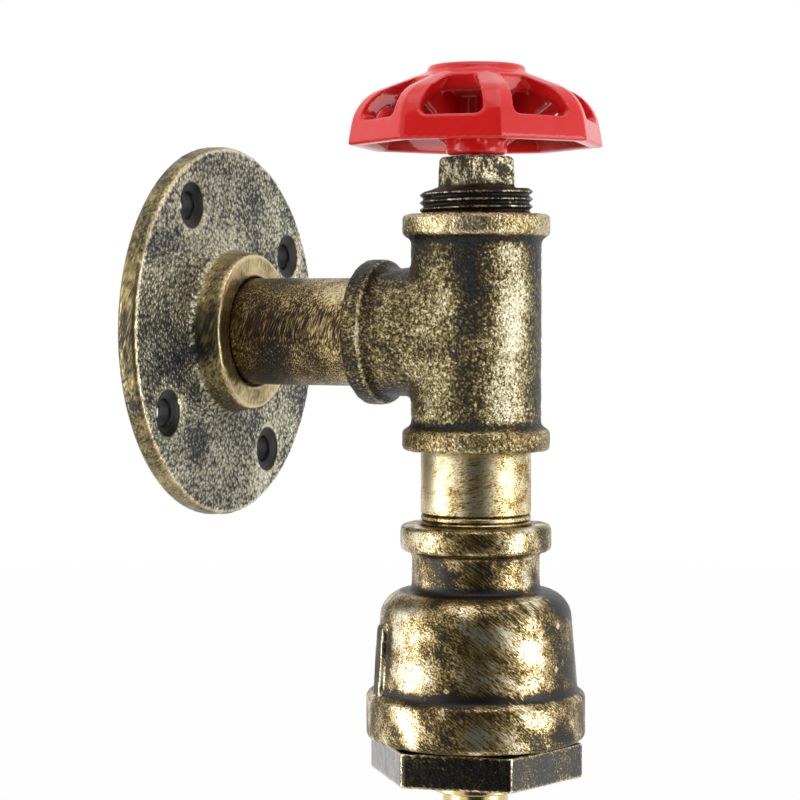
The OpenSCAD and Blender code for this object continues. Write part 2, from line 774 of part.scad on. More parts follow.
module bell_reducer() {
    shoulder = [bell_shoulder_d / 2 - bell_shoulder_r, bell_neck_low - bell_shoulder_r];
    fillet = 1;
    skin = concat(
        [[0, bell_low]],
        arc([band_d / 2 - bell_edge, bell_low + bell_edge], bell_edge, -90, 0),
        arc([band_d / 2 - bell_edge, band_top - bell_edge], bell_edge, 0, 90),
        [[bell_low_d / 2, band_top]],
        arc(shoulder, bell_shoulder_r, 0, 90),
        arc([bell_neck_d / 2 + fillet, bell_neck_low + fillet], fillet, 270, 180),
        collar_outline(bell_neck_d / 2, bell_collar_d / 2, bell_collar_h, bell_edge, bell_top),
        [[0, bell_top]]);
    wide_top = bell_low + wide_port_h;
    hollow = [
        [0, wide_top - cut], [port_r(wide_port_d, wide_port_h) - 0.5, wide_top - cut],
        [port_r(wide_port_d, wide_port_h) - 0.5, wide_top],
        [bell_shoulder_d / 2 - bell_wall, bell_neck_low - bell_shoulder_r],
        [pipe_bore / 2 + 1, bell_neck_low], [pipe_bore / 2 + 1, bell_top], [0, bell_top]];
    rib = [
        [bell_shoulder_d / 2 - 4, bell_neck_low - bell_shoulder_r / 2],
        [bell_shoulder_d / 2 + rib_h, bell_neck_low - bell_shoulder_r],
        [bell_low_d / 2 + rib_h, band_top - cut], [bell_low_d / 2 - 4, band_top - cut]];
    color(bronze) on_column() difference() {
        union() {
            rotate_extrude() polygon(skin);
            for (side = [0, 180]) rotate([90, 0, rib_turn + side])
                translate([0, 0, -rib_w / 2]) linear_extrude(rib_w) polygon(rib);
        }
        rotate_extrude() polygon(hollow);
        translate([0, 0, bell_top]) port(port_d, thread_grip + lay_gap, port_chamfer);
        translate([0, 0, bell_low]) mirror([0, 0, 1]) port(wide_port_d, wide_port_h, port_chamfer);
    }
}

module hex_plug() {
    thread = [for (p = thread_outline(wide_port_d, -hex_gap, hex_grip, wide_port_d)) [p.x, bell_low + p.y]];
    color(bronze_dark) on_column() difference() {
        union() {
            rotate_extrude() polygon(concat(
                [[0, hex_top - cut], [hex_hollow / 2 + 2, hex_top - cut]],
                thread, [[0, bell_low + hex_grip]]));
            rotate(hex_turn) hexagon(hex_af, hex_low, hex_top);
        }
        disc(hex_hollow, hex_floor_top, bell_low + hex_grip + cut);
        disc(tube_hole, hex_low - cut, hex_floor_top + cut);
    }
}

module lamp_tube() {
    color(brass) on_column() washer_ring(tube_d, tube_bore, tube_low, tube_top);
}

module tube_washer() {
    color(steel) on_column() washer_ring(tube_washer_d, tube_hole, hex_floor_top, tag_low);
}

module earth_tag() {
    ring_d = tube_nut_af + 3;
    barrel_d = terminal_hole + 1.4;
    color(brass) on_column() difference() {
        union() {
            disc(ring_d, tag_low, tube_nut_low);
            translate([0, -barrel_d / 2, tag_low]) cube([tag_reach, barrel_d, tag_t]);
            translate([tag_reach, 0, 0]) disc(barrel_d, tag_low, tag_low + tag_h);
        }
        disc(tube_hole, tag_low - cut, tube_nut_low + cut);
        translate([tag_reach, 0, 0]) disc(terminal_hole, tube_nut_low, tag_low + tag_h + cut);
    }
}

module tube_locknut() {
    color(brass) on_column() difference() {
        hexagon(tube_nut_af, tube_nut_low, tube_nut_low + tube_nut_h);
        disc(tube_hole, tube_nut_low - cut, tube_nut_low + tube_nut_h + cut);
    }
}

module check_ring() {
    edge = 0.5;
    color(brass) on_column() difference() {
        rotate_extrude() polygon(concat(
            [[0, check_low]],
            arc([check_d / 2 - edge, check_low + edge], edge, -90, 0),
            arc([check_d / 2 - edge, hex_low - edge], edge, 0, 90),
            [[0, hex_low]]));
        disc(tube_hole, check_low - cut, hex_low + cut);
    }
}

// Line of the cap's dome, a depth under its outer skin, from the neck to the rim
function cap_line(depth) =
    let (start = neck_d / 2 + neck_fillet, wide = dome_d / 2 - start, high = dome_h - neck_fillet)
    [for (i = [0 : 2 * arc_steps]) let (a = 90 * i / (2 * arc_steps))
        [start + (wide - depth) * sin(a), dome_low + (high - depth) * cos(a)]];

module holder_cap() {
    skin = concat([[0, check_low], [neck_d / 2, check_low]],
        arc([neck_d / 2 + neck_fillet, neck_low], neck_fillet, 180, 270),
        cap_line(0), [[dome_d / 2, cap_low], [0, cap_low]]);
    hollow = concat([[0, dome_low + dome_h - neck_fillet - holder_wall]], cap_line(holder_wall),
        [[cap_bore / 2, cap_low - cut], [0, cap_low - cut]]);
    color(brass) on_column() difference() {
        rotate_extrude() polygon(skin);
        rotate_extrude() polygon(hollow);
        disc(tube_hole, dome_low, check_low + cut);
        translate([0, 0, neck_low + grub_d]) rotate([0, 90, 0])
            cylinder(d = grub_d + 2 * run_gap, h = neck_d);
    }
}

module cap_grub_screw() {
    length = neck_d / 2 - tube_hole / 2 - lay_gap;
    color(steel) on_column() translate([tube_hole / 2, 0, neck_low + grub_d]) rotate([0, 90, 0])
        difference() {
            cylinder(d = grub_d, h = length);
            translate([0, 0, length / 2]) cylinder(d = grub_d / 2, h = length, $fn = 6);
        }
}

module holder_skirt() {
    bead = 0.7;
    groove = 0.3;
    r = skirt_d / 2;
    skin = [
        [0, skirt_low], [r - bead, skirt_low], [r, skirt_low + bead], [r, skirt_low + 4],
        [r - groove, skirt_low + 4 + groove], [r - groove, skirt_low + 5], [r, skirt_low + 5 + groove],
        [r, cap_low - lay_gap], [spigot_d / 2, cap_low - lay_gap], [spigot_d / 2, cap_low + spigot_h],
        [0, cap_low + spigot_h]];
    color(brass) on_column() difference() {
        rotate_extrude() polygon(skin);
        disc(skirt_bore, skirt_low + holder_wall, cap_low - lay_gap - holder_wall);
        disc(spigot_d - 2 * spigot_wall, skirt_low + holder_wall, cap_low + spigot_h + cut);
        disc(skirt_bore - 2 * lip_w, skirt_low - cut, skirt_low + 2 * holder_wall);
    }
}

module socket_liner() {
    color(porcelain) on_column()
        washer_ring(insulator_d, shell_d + 2 * tube_gap, insulator_low, socket_top - lay_gap);
}

module holder_insulator() {
    color(porcelain) on_column() difference() {
        disc(insulator_d, socket_top, insulator_top);
        disc(plunger_d + 2 * run_gap, socket_top - cut, pocket_low + cut);
        disc(pocket_d, pocket_low, insulator_top + cut);
        translate([-strap_reach - terminal_t / 2 - lay_gap, -strap_w / 2 - lay_gap, socket_top - cut])
            cube([terminal_t + 2 * lay_gap, strap_w + 2 * lay_gap, insulator_roof + 2 * cut]);
    }
}

module screw_shell() {
    turns = floor((shell_top - shell_low - socket_mouth - shell_wall) / socket_pitch);
    thread_low = shell_low + socket_mouth;
    steps = 8;
    inner = concat([[socket_d / 2, shell_low]],
        [for (i = [0 : turns * steps]) let (dip = (1 - cos(360 * i / steps)) / 2)
            [socket_d / 2 - socket_thread * dip, thread_low + i * socket_pitch / steps]],
        [[socket_d / 2, shell_top - shell_wall]]);
    outer = [for (p = reversed(inner)) [p.x + shell_wall, p.y]];
    roof = [[plunger_d, shell_top - shell_wall], [plunger_d, shell_top], [shell_d / 2, shell_top]];
    color(brass) on_column() rotate_extrude() polygon(concat(inner, roof, outer));
}

module centre_contact() {
    color(brass) on_column() {
        disc(plunger_d, socket_top - plunger_show, head_low + plunger_head_t);
        disc(plunger_d + 2, head_low, head_low + plunger_head_t);
    }
}

module contact_spring() {
    rise = insulator_top - spring_low - spring_wire - 4 * run_gap;
    count = spring_turns * spring_steps;
    path = [for (i = [0 : count]) let (a = 360 * i / spring_steps)
        [spring_d / 2 * cos(a), spring_d / 2 * sin(a),
         spring_low + spring_wire / 2 + 2 * run_gap + rise * i / count]];
    color(steel) on_column() tube_along(path, spring_wire, spring_sides, Z);
}

// Block with an upright hole for a wire and a level hole for its screw
module terminal_block() {
    difference() {
        translate([-terminal_w / 2, -terminal_w / 2, insulator_top])
            cube([terminal_w, terminal_w, terminal_t + terminal_h]);
        disc(terminal_hole, insulator_top + terminal_t, terminal_top + cut);
        translate([0, 0, terminal_top - terminal_h / 2]) rotate([90, 0, 0])
            cylinder(d = terminal_screw_d + 2 * run_gap, h = terminal_w);
    }
}

module live_terminal() {
    color(brass) on_column() {
        translate([terminal_reach, 0, 0]) terminal_block();
        translate([-pocket_d / 2 - 0.6, -pocket_d / 2, insulator_top])
            cube([terminal_reach - terminal_w / 2 + pocket_d / 2 + 0.6 + 0.1, pocket_d, terminal_t]);
    }
}

module neutral_terminal() {
    color(brass) on_column() {
        translate([-terminal_reach, 0, 0]) terminal_block();
        translate([-strap_reach - terminal_t / 2, -strap_w / 2, shell_top])
            cube([terminal_t, strap_w, insulator_top + terminal_t - shell_top]);
    }
}

module terminal_screws() {
    head_h = 1.6;
    head_low = terminal_w / 2 + 0.2;
    slot_w = 0.7;
    tip = terminal_hole / 2;
    z = terminal_top - terminal_h / 2;
    color(steel) on_column() for (side = [-1, 1])
        translate([side * terminal_reach, 0, z]) rotate([90, 0, 0]) difference() {
            union() {
                translate([0, 0, tip]) cylinder(d = terminal_screw_d, h = terminal_w / 2 - tip + head_h);
                translate([0, 0, head_low]) cylinder(d = terminal_screw_d + head_h, h = head_h);
            }
            translate([-terminal_w / 2, -slot_w / 2, head_low + head_h / 2])
                cube([terminal_w, slot_w, head_h]);
        }
}

// Puts a child at each of the supply connector's three clamps
module each_clamp() {
    for (a = [90, 210, 330]) rotate(a) translate([clamp_reach, 0, 0]) children();
}

module supply_connector() {
    color(porcelain) along_arm() difference() {
        disc(pipe_bore - 2 * lay_gap, connector_y, connector_end);
        each_clamp() disc(clamp_d + 2 * run_gap, connector_y - cut, connector_end + cut);
    }
}

module connector_clamps() {
    color(brass) along_arm() each_clamp()
        washer_ring(clamp_d, terminal_hole, connector_y + clamp_inset, connector_end - clamp_inset);
}

module feed_wire() {
    color("#6b3a1e") on_column() tube_along(feed_route, wire_d, wire_sides, X);
}

module neutral_wire() {
    color("#2a5ca8") on_column() tube_along(neutral_route, wire_d, wire_sides, X);
}

module switched_wire() {
    color("#6b3a1e") on_column() tube_along(switched_route, wire_d, wire_sides, X);
}

module earth_wire() {
    color("#4f9a3a") on_column() tube_along(earth_route, wire_d, wire_sides, X);
}

wall_flange();
arm_nipple();
tee();
top_plug();
handwheel();
wheel_washer();
wheel_nut();
spindle();
switch_bush();
switch_locknut();
switch_cover();
switch_base();
switch_rotor();
bridge_contact();
fixed_contacts();
spring_washer();
drop_nipple();
bell_reducer();
hex_plug();
lamp_tube();
tube_locknut();
tube_washer();
earth_tag();
check_ring();
holder_cap();
cap_grub_screw();
holder_skirt();
socket_liner();
holder_insulator();
screw_shell();
centre_contact();
contact_spring();
live_terminal();
neutral_terminal();
terminal_screws();
supply_connector();
connector_clamps();
feed_wire();
neutral_wire();
switched_wire();
earth_wire();
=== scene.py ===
# %% [markdown]
# # A pipe wall light, dressed piece by piece
# The lamp is built from pipe fittings: a wall flange, a short arm, a tee with a red valve wheel
# on top, and a bell reducer that carries the lampholder. The solids come from a CAD model that
# is loaded as a fixed frame. Here the outer castings are modelled again, with the soft edges
# and rough skin that a foundry leaves, and every surface gets a finish made of nodes.

# %% Load the frame
import json
import math

import bpy
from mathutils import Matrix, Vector

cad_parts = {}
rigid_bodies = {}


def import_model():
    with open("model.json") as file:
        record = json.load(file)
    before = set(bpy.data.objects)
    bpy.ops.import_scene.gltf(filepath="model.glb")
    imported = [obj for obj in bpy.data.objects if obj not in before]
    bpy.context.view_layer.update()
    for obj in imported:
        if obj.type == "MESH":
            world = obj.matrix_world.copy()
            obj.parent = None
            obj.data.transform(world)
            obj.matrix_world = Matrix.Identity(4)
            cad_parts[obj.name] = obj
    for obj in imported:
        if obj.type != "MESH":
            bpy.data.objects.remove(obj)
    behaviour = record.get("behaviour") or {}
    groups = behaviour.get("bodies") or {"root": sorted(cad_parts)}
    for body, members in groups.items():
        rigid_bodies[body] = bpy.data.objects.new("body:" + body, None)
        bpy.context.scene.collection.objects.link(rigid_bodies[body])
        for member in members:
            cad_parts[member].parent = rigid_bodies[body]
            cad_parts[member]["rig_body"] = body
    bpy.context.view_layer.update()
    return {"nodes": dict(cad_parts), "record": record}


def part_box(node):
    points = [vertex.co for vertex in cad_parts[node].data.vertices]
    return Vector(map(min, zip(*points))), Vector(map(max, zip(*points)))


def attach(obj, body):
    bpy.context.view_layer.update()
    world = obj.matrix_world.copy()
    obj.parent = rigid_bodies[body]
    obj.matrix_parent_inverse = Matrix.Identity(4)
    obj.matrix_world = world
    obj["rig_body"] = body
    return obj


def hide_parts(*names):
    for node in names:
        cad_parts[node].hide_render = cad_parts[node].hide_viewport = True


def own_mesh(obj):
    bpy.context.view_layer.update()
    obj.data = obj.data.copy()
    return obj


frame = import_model()
MM = 0.001
low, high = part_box("drop_nipple")
COLUMN = Vector(((low.x + high.x) / 2, (low.y + high.y) / 2, 0))
bpy.context.scene.view_settings.view_transform = "Standard"
print("nodes:", len(frame["nodes"]), "column axis at", tuple(round(v / MM, 1) for v in COLUMN))

# %% [markdown]
# ## The camera
# The picture was taken with a long lens, a little from above, so that the wall plate turns
# away to the left. Angles, distance and focal length were solved from the rims of the fittings,
# which are circles in the object and ellipses in the picture.

# %% Camera
AZIMUTH, PITCH = math.radians(-65.21), math.radians(2.43)
DISTANCE, LENS, SENSOR = 544.3 * MM, 100.66, 36
AIM_Z, AIM_LEFT = -16.4, 18.5
to_right = Vector((math.cos(AZIMUTH), math.sin(AZIMUTH), 0))
to_camera = Vector((math.sin(AZIMUTH) * math.cos(PITCH), -math.cos(AZIMUTH) * math.cos(PITCH),
                    math.sin(PITCH)))
aim = COLUMN + Vector((0, 0, AIM_Z * MM)) - AIM_LEFT * MM * to_right
bpy.ops.object.select_all(action="DESELECT")
bpy.ops.object.camera_add(location=aim + DISTANCE * to_camera,
                          rotation=(-to_camera).to_track_quat("-Z", "Y").to_euler())
camera = bpy.context.object
camera.data.lens = LENS
camera.data.sensor_width = SENSOR
camera.data.clip_start, camera.data.clip_end = 0.01, 100
bpy.context.scene.camera = camera
print("camera at", tuple(round(v / MM) for v in camera.location), "mm")

# %% [markdown]
# ## One function for colours and one for nodes
# A colour picker shows sRGB values, but a shader works with linear light, so one function turns
# a hex colour into linear numbers. Another adds a node, sets it and links it, because a finish
# is a chain of many nodes and the chain should read like a recipe.

# %% Colour and node helpers
def linear(hex_colour):
    """Linear RGBA of an sRGB hex colour."""
    parts = [int(hex_colour[i:i + 2], 16) / 255 for i in (1, 3, 5)]
    return [p / 12.92 if p <= 0.04045 else ((p + 0.055) / 1.055) ** 2.4 for p in parts] + [1]


def add(tree, kind, settings, inputs):
    """Adds a node. An input that is another node's socket is linked, and any other is set."""
    node = tree.nodes.new(kind)
    for name, value in settings.items():
        setattr(node, name, value)
    for name, value in inputs.items():
        if isinstance(value, bpy.types.NodeSocket):
            tree.links.new(value, node.inputs[name])
        else:
            node.inputs[name].default_value = value
    return node


print("a middle grey, #808080, is", round(linear("#808080")[0], 3), "in linear light")

# %% [markdown]
# ## Floor, flag and light
# A small product is lit by two tall soft boxes, one on each side, and a softer one from above.
# A dark flag stands behind the camera: polished metal mirrors it, which gives each pipe its dark
# middle band between two bright ones. The floor is pale and far below, so that it only catches a
# faint shadow, and the world behind is white for the camera and for mirrors alike.

# %% World
world = bpy.data.worlds.new("white_room")
bpy.context.scene.world = world
world.use_nodes = True
tree = world.node_tree
tree.nodes.clear()
AMBIENT = 0.42
path = add(tree, "ShaderNodeLightPath", {}, {})
mirrored = add(tree, "ShaderNodeMath", {"operation": "MAXIMUM"},
               {0: path.outputs["Is Glossy Ray"], 1: path.outputs["Is Transmission Ray"]})
shown = add(tree, "ShaderNodeMath", {"operation": "MAXIMUM"},
            {0: path.outputs["Is Camera Ray"], 1: mirrored.outputs[0]})
strength = add(tree, "ShaderNodeMapRange", {}, {"Value": shown.outputs[0], "To Min": AMBIENT, "To Max": 1})
backdrop = add(tree, "ShaderNodeBackground", {},
               {"Color": (1, 1, 1, 1), "Strength": strength.outputs[0]})
add(tree, "ShaderNodeOutputWorld", {}, {"Surface": backdrop.outputs[0]})
print("world: ambient", AMBIENT)

# %% Floor and flag
FLOOR_R, FLOOR_Z = 9, -1.1
bpy.ops.object.select_all(action="DESELECT")
bpy.ops.mesh.primitive_circle_add(vertices=96, radius=FLOOR_R, fill_type="NGON", location=(0, 0, FLOOR_Z))
floor = bpy.context.object
floor.name = "studio_floor"
bpy.ops.object.select_all(action="DESELECT")
FLAG_AWAY, FLAG_W, FLAG_H = 0.80, 0.95, 1.5
bpy.ops.mesh.primitive_plane_add(size=1, location=COLUMN + FLAG_AWAY * to_camera,
                                 rotation=to_camera.to_track_quat("Z", "Y").to_euler())
flag = bpy.context.object
flag.name = "dark_flag"
flag.scale = (FLAG_W, FLAG_H, 1)
flag.visible_camera = False
print("stage:", floor.name, flag.name)

# %% Paper and felt
# Matt paper is white to the camera and to mirrors, and a trace of it keeps the shadow.
GLOW_SHARE = 0.985
paper = bpy.data.materials.new("pale_paper")
paper.use_nodes = True
tree = paper.node_tree
tree.nodes.clear()
path = add(tree, "ShaderNodeLightPath", {}, {})
matt = add(tree, "ShaderNodeBsdfDiffuse", {}, {"Color": linear("#f4f4f4")})
glow = add(tree, "ShaderNodeEmission", {}, {"Color": (1, 1, 1, 1), "Strength": 1})
seen = add(tree, "ShaderNodeMath", {"operation": "MAXIMUM"},
           {0: path.outputs["Is Camera Ray"], 1: path.outputs["Is Glossy Ray"]})
share = add(tree, "ShaderNodeMath", {"operation": "MULTIPLY"}, {0: seen.outputs[0], 1: GLOW_SHARE})
mixed = add(tree, "ShaderNodeMixShader", {},
            {0: share.outputs[0], 1: matt.outputs[0], 2: glow.outputs[0]})
add(tree, "ShaderNodeOutputMaterial", {}, {"Surface": mixed.outputs[0]})
floor.data.materials.append(paper)

# Felt takes in nearly all light and has no gloss, so a mirror shows it as a dark band.
felt = bpy.data.materials.new("black_felt")
felt.use_nodes = True
skin = felt.node_tree.nodes["Principled BSDF"]
skin.inputs["Base Color"].default_value = linear("#161616")
skin.inputs["Roughness"].default_value = 1
flag.data.materials.append(felt)
print("finishes:", paper.name, felt.name)


# %% Soft boxes
def soft_box(name, turn, rise, away, width, height, watts):
    """A soft box, turned by degrees from the camera to the right, and raised by degrees."""
    turn, rise = math.radians(turn), math.radians(rise)
    flat = math.cos(turn) * Vector((to_camera.x, to_camera.y, 0)).normalized() + math.sin(turn) * to_right
    out = math.cos(rise) * flat + math.sin(rise) * Vector((0, 0, 1))
    bpy.ops.object.select_all(action="DESELECT")
    bpy.ops.object.light_add(type="AREA", location=COLUMN + away * out,
                             rotation=out.to_track_quat("Z", "Y").to_euler())
    lamp = bpy.context.object
    lamp.name = name
    lamp.data.shape, lamp.data.size, lamp.data.size_y = "RECTANGLE", width, height
    lamp.data.energy = watts
    print(name, "at", tuple(round(v, 2) for v in lamp.location))


soft_box("right_box", turn=66, rise=-9, away=1.0, width=0.42, height=0.95, watts=4.4)
soft_box("left_box", turn=-78, rise=-9, away=1.0, width=0.45, height=0.95, watts=4.6)
soft_box("top_box", turn=20, rise=72, away=1.1, width=1.2, height=1.0, watts=4)

# %% [markdown]
# ## Outlines and solids
# Most fittings are round, so their outline is drawn as a chain of points and spun about an axis,
# as on a lathe. What isn't round is an outline too, filled and extruded. Both start from a
# primitive that is shrunk to one vertex, which is then extruded from point to point.

# %% Outlines and solids
WELD = 0.002 * MM


def begin(name, add_primitive, **size):
    """Adds a primitive as the start of a piece."""
    bpy.ops.object.select_all(action="DESELECT")
    add_primitive(**size)
    piece = bpy.context.object
    piece.name = piece.data.name = name
    return piece


def arc(x, y, r, start, end, steps=6):
    """Points of an arc, from one angle to another."""
    angles = [math.radians(start + (end - start) * i / steps) for i in range(steps + 1)]
    return [(x + r * math.cos(a), y + r * math.sin(a)) for a in angles]


def chain(points):
    """In edit mode, draws a chain of edges through points (x, z), in mm, from one vertex."""
    bpy.ops.mesh.merge(type="CENTER")
    here = Vector((0, 0, 0))
    for i, (x, z) in enumerate(points):
        there = MM * Vector((x, 0, z))
        step = {"value": there - here}
        if i == 0:
            bpy.ops.transform.translate(**step)
        else:
            bpy.ops.mesh.extrude_vertices_move(TRANSFORM_OT_translate=step)
        here = there


def close_up():
    """In edit mode, merges doubles and turns all faces outwards."""
    bpy.ops.mesh.select_all(action="SELECT")
    bpy.ops.mesh.remove_doubles(threshold=WELD)
    bpy.ops.mesh.normals_make_consistent(inside=False)
    bpy.ops.object.mode_set(mode="OBJECT")


def turned(name, outline, steps=128):
    """A piece spun about Z from its outline of (radius, height) points, in mm."""
    piece = begin(name, bpy.ops.mesh.primitive_plane_add, size=MM, enter_editmode=True)
    chain(outline)
    bpy.ops.mesh.select_all(action="SELECT")
    bpy.ops.mesh.spin(steps=steps, angle=2 * math.pi, center=(0, 0, 0), axis=(0, 0, 1))
    close_up()
    return piece


def prism(name, outline, length):
    """A piece with an outline of (x, z) points, in mm, and a length along Y, centred."""
    piece = begin(name, bpy.ops.mesh.primitive_plane_add, size=MM, enter_editmode=True)
    chain(outline + outline[:1])
    bpy.ops.mesh.select_all(action="SELECT")
    bpy.ops.mesh.remove_doubles(threshold=WELD)
    bpy.ops.mesh.edge_face_add()
    bpy.ops.mesh.extrude_region_move(TRANSFORM_OT_translate={"value": (0, length * MM, 0)})
    close_up()
    return settle(piece, (0, -length / 2 * MM, 0))


print("a rounded corner has", len(arc(0, 0, 1, 0, 90)), "points")

# %% [markdown]
# ## From solids to castings
# A casting is several such forms joined together. A voxel remesh melts them into one skin, some
# rounds of smoothing give the fillets, and a clouds texture pushes the skin in and out by one or
# two tenths of a millimetre, as the sand of the mould does. A subdivision surface would round the
# edges too, but it needs clean faces, and Booleans leave none.

# %% Casting helpers
def settle(piece, location=(0, 0, 0), rotation=(0, 0, 0)):
    """Moves and turns a piece, and applies that to its mesh."""
    piece.location, piece.rotation_euler = location, rotation
    bpy.ops.object.select_all(action="DESELECT")
    piece.select_set(True)
    bpy.context.view_layer.objects.active = piece
    bpy.ops.object.transform_apply(location=True, rotation=True, scale=True)
    return piece


def modify(piece, kind, **settings):
    """Adds a modifier, sets it and applies it."""
    modifier = piece.modifiers.new(kind.lower(), kind)
    for name, value in settings.items():
        setattr(modifier, name, value)
    bpy.context.view_layer.objects.active = piece
    bpy.ops.object.modifier_apply(modifier=modifier.name)


def fuse(piece, other, operation="UNION"):
    """Joins another form to a piece, or cuts it out, and removes it."""
    modify(piece, "BOOLEAN", operation=operation, object=other, solver="EXACT")
    bpy.data.objects.remove(other)


def melt(piece, voxel_mm):
    """Remeshes joined forms into one skin of small squares."""
    modify(piece, "REMESH", mode="VOXEL", voxel_size=voxel_mm * MM, use_smooth_shade=True)


def soften(piece, rounds, group=""):
    """Smooths a skin, all over or only in a group of vertices."""
    modify(piece, "SMOOTH", factor=0.5, iterations=rounds, vertex_group=group)


def lumps(piece, size_mm, depth_mm, group=""):
    """Pushes a skin in and out by a cloudy pattern, all over or only in a group of vertices."""
    clouds = bpy.data.textures.new(f"{piece.name}_clouds_{size_mm}", "CLOUDS")
    clouds.noise_scale = size_mm * MM
    modify(piece, "DISPLACE", texture=clouds, texture_coords="LOCAL", strength=depth_mm * MM,
           mid_level=0.5, vertex_group=group)


def smooth(piece, angle=40):
    """Shades a piece smooth, but for edges sharper than an angle."""
    bpy.ops.object.select_all(action="DESELECT")
    piece.select_set(True)
    bpy.context.view_layer.objects.active = piece
    bpy.ops.object.shade_smooth_by_angle(angle=math.radians(angle))


print("casting helpers:", [h.__name__ for h in (settle, modify, fuse, melt, soften, lumps, smooth)])

# %% [markdown]
# ## Marks on a piece
# A finish can't know where a piece is dirty or worn, or where shade and light are painted into its colour, so
# each vertex carries numbers that say so.
# They could be painted by hand with a brush. Here a rule works them out from the vertex's place,
# so that they fit the shape from all sides and come out the same in each run. The last function
# hands a piece over: it gives it a finish and a body to ride on, and hides the CAD node that it stands for.

# %% Marks and hand-over
def ease(value, start, end):
    """0 before a start, 1 after an end, and smooth between them."""
    t = min(max((value - start) / (end - start), 0), 1)
    return t * t * (3 - 2 * t)


def worn_line(value, middle, half):
    """1 at a middle value, and down to 0 at a half width on both sides."""
    return ease(half - abs(value - middle), 0, half)


def marked(piece, name, rule):
    """Writes a named number to each vertex, from a rule of its place in mm."""
    values = [rule(*(v.co / MM)) for v in piece.data.vertices]
    piece.data.attributes.new(name, "FLOAT", "POINT").data.foreach_set("value", values)


def dress(piece, node, material):
    """Gives a piece its finish and its body, and hides the CAD node that it stands for."""
    piece.data.materials.clear()
    piece.data.materials.append(material)
    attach(piece, frame["nodes"][node]["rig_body"])
    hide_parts(node)
    print(piece.name, "faces:", len(piece.data.polygons))


print("half way through an ease is", ease(0.5, 0, 1))

# %% [markdown]
# ## Antique brass, dry-brushed
# The fittings are iron, painted black, and then brushed with a nearly dry brush of brass paint.
# The brass stays on what stands proud: the grain of the casting, edges and corners. So one
# number says how proud each spot is, from the grain, from larger patches, from brush strokes
# and from the curve of the surface, and it drives colour, metal and gloss together. Where a
# region of a casting is darker or lighter as a whole, its vertices carry a second number: partly
# real black paint, soot and wear, partly painted shade, painted shadow and painted highlights.
# Where it was filed smooth before painting, a number called sleek trades the grain for strokes.
# On a rough casting the grain is round pebbles between grains of sand, and pebbled is their share.
# region of a casting is darker as a whole, its vertices carry a number called soot, and where it
# was filed smooth before painting, a number called sleek, which trades the grain for strokes. On
# a rough casting the grain is round pebbles between grains of sand, and pebbled is their share.

# %% Tints and brush directions
# Each tint has its place on the scale from sunk to proud, from black paint to bare brass.
GOLD = ((0.30, "#121313"), (0.43, "#403621"), (0.57, "#98804b"), (0.80, "#e6dec4"))
PALE = ((0.29, "#141412"), (0.41, "#44371d"), (0.57, "#8f7f52"), (0.80, "#e5dec2"))
BRASS = ((0.30, "#15140f"), (0.43, "#46391c"), (0.57, "#a08443"), (0.80, "#ece6d0"))
PIPE = ((0.30, "#15140f"), (0.43, "#4a3a17"), (0.57, "#aa8838"), (0.80, "#eee2bc"))
GREY = ((0.28, "#12171b"), (0.42, "#43474a"), (0.58, "#9c967c"), (0.84, "#e2deca"))
DARK = ((0.30, "#131312"), (0.44, "#42321f"), (0.58, "#86805f"), (0.82, "#dcd7be"))
RUST = ((0.30, "#131211"), (0.45, "#46351e"), (0.60, "#866c40"), (0.86, "#d6c79c"))
# The brush ran at a slant on most pieces, steeply on the flange and the arm, and nearly level on the
# drop pipe.
STROKE_FRAME = (0, math.radians(38), AZIMUTH)
STEEP_FRAME = (0, math.radians(-72), AZIMUTH)
LEVEL_FRAME = (0, math.radians(-9), AZIMUTH)
# A brush leaves lines about twelve times as long as wide, and drags a patch to about twice.
STROKE_STRETCH, PATCH_STRETCH = 12, 2.2
print("darkest and lightest tint of the pipes:", PIPE[0][1], PIPE[-1][1])


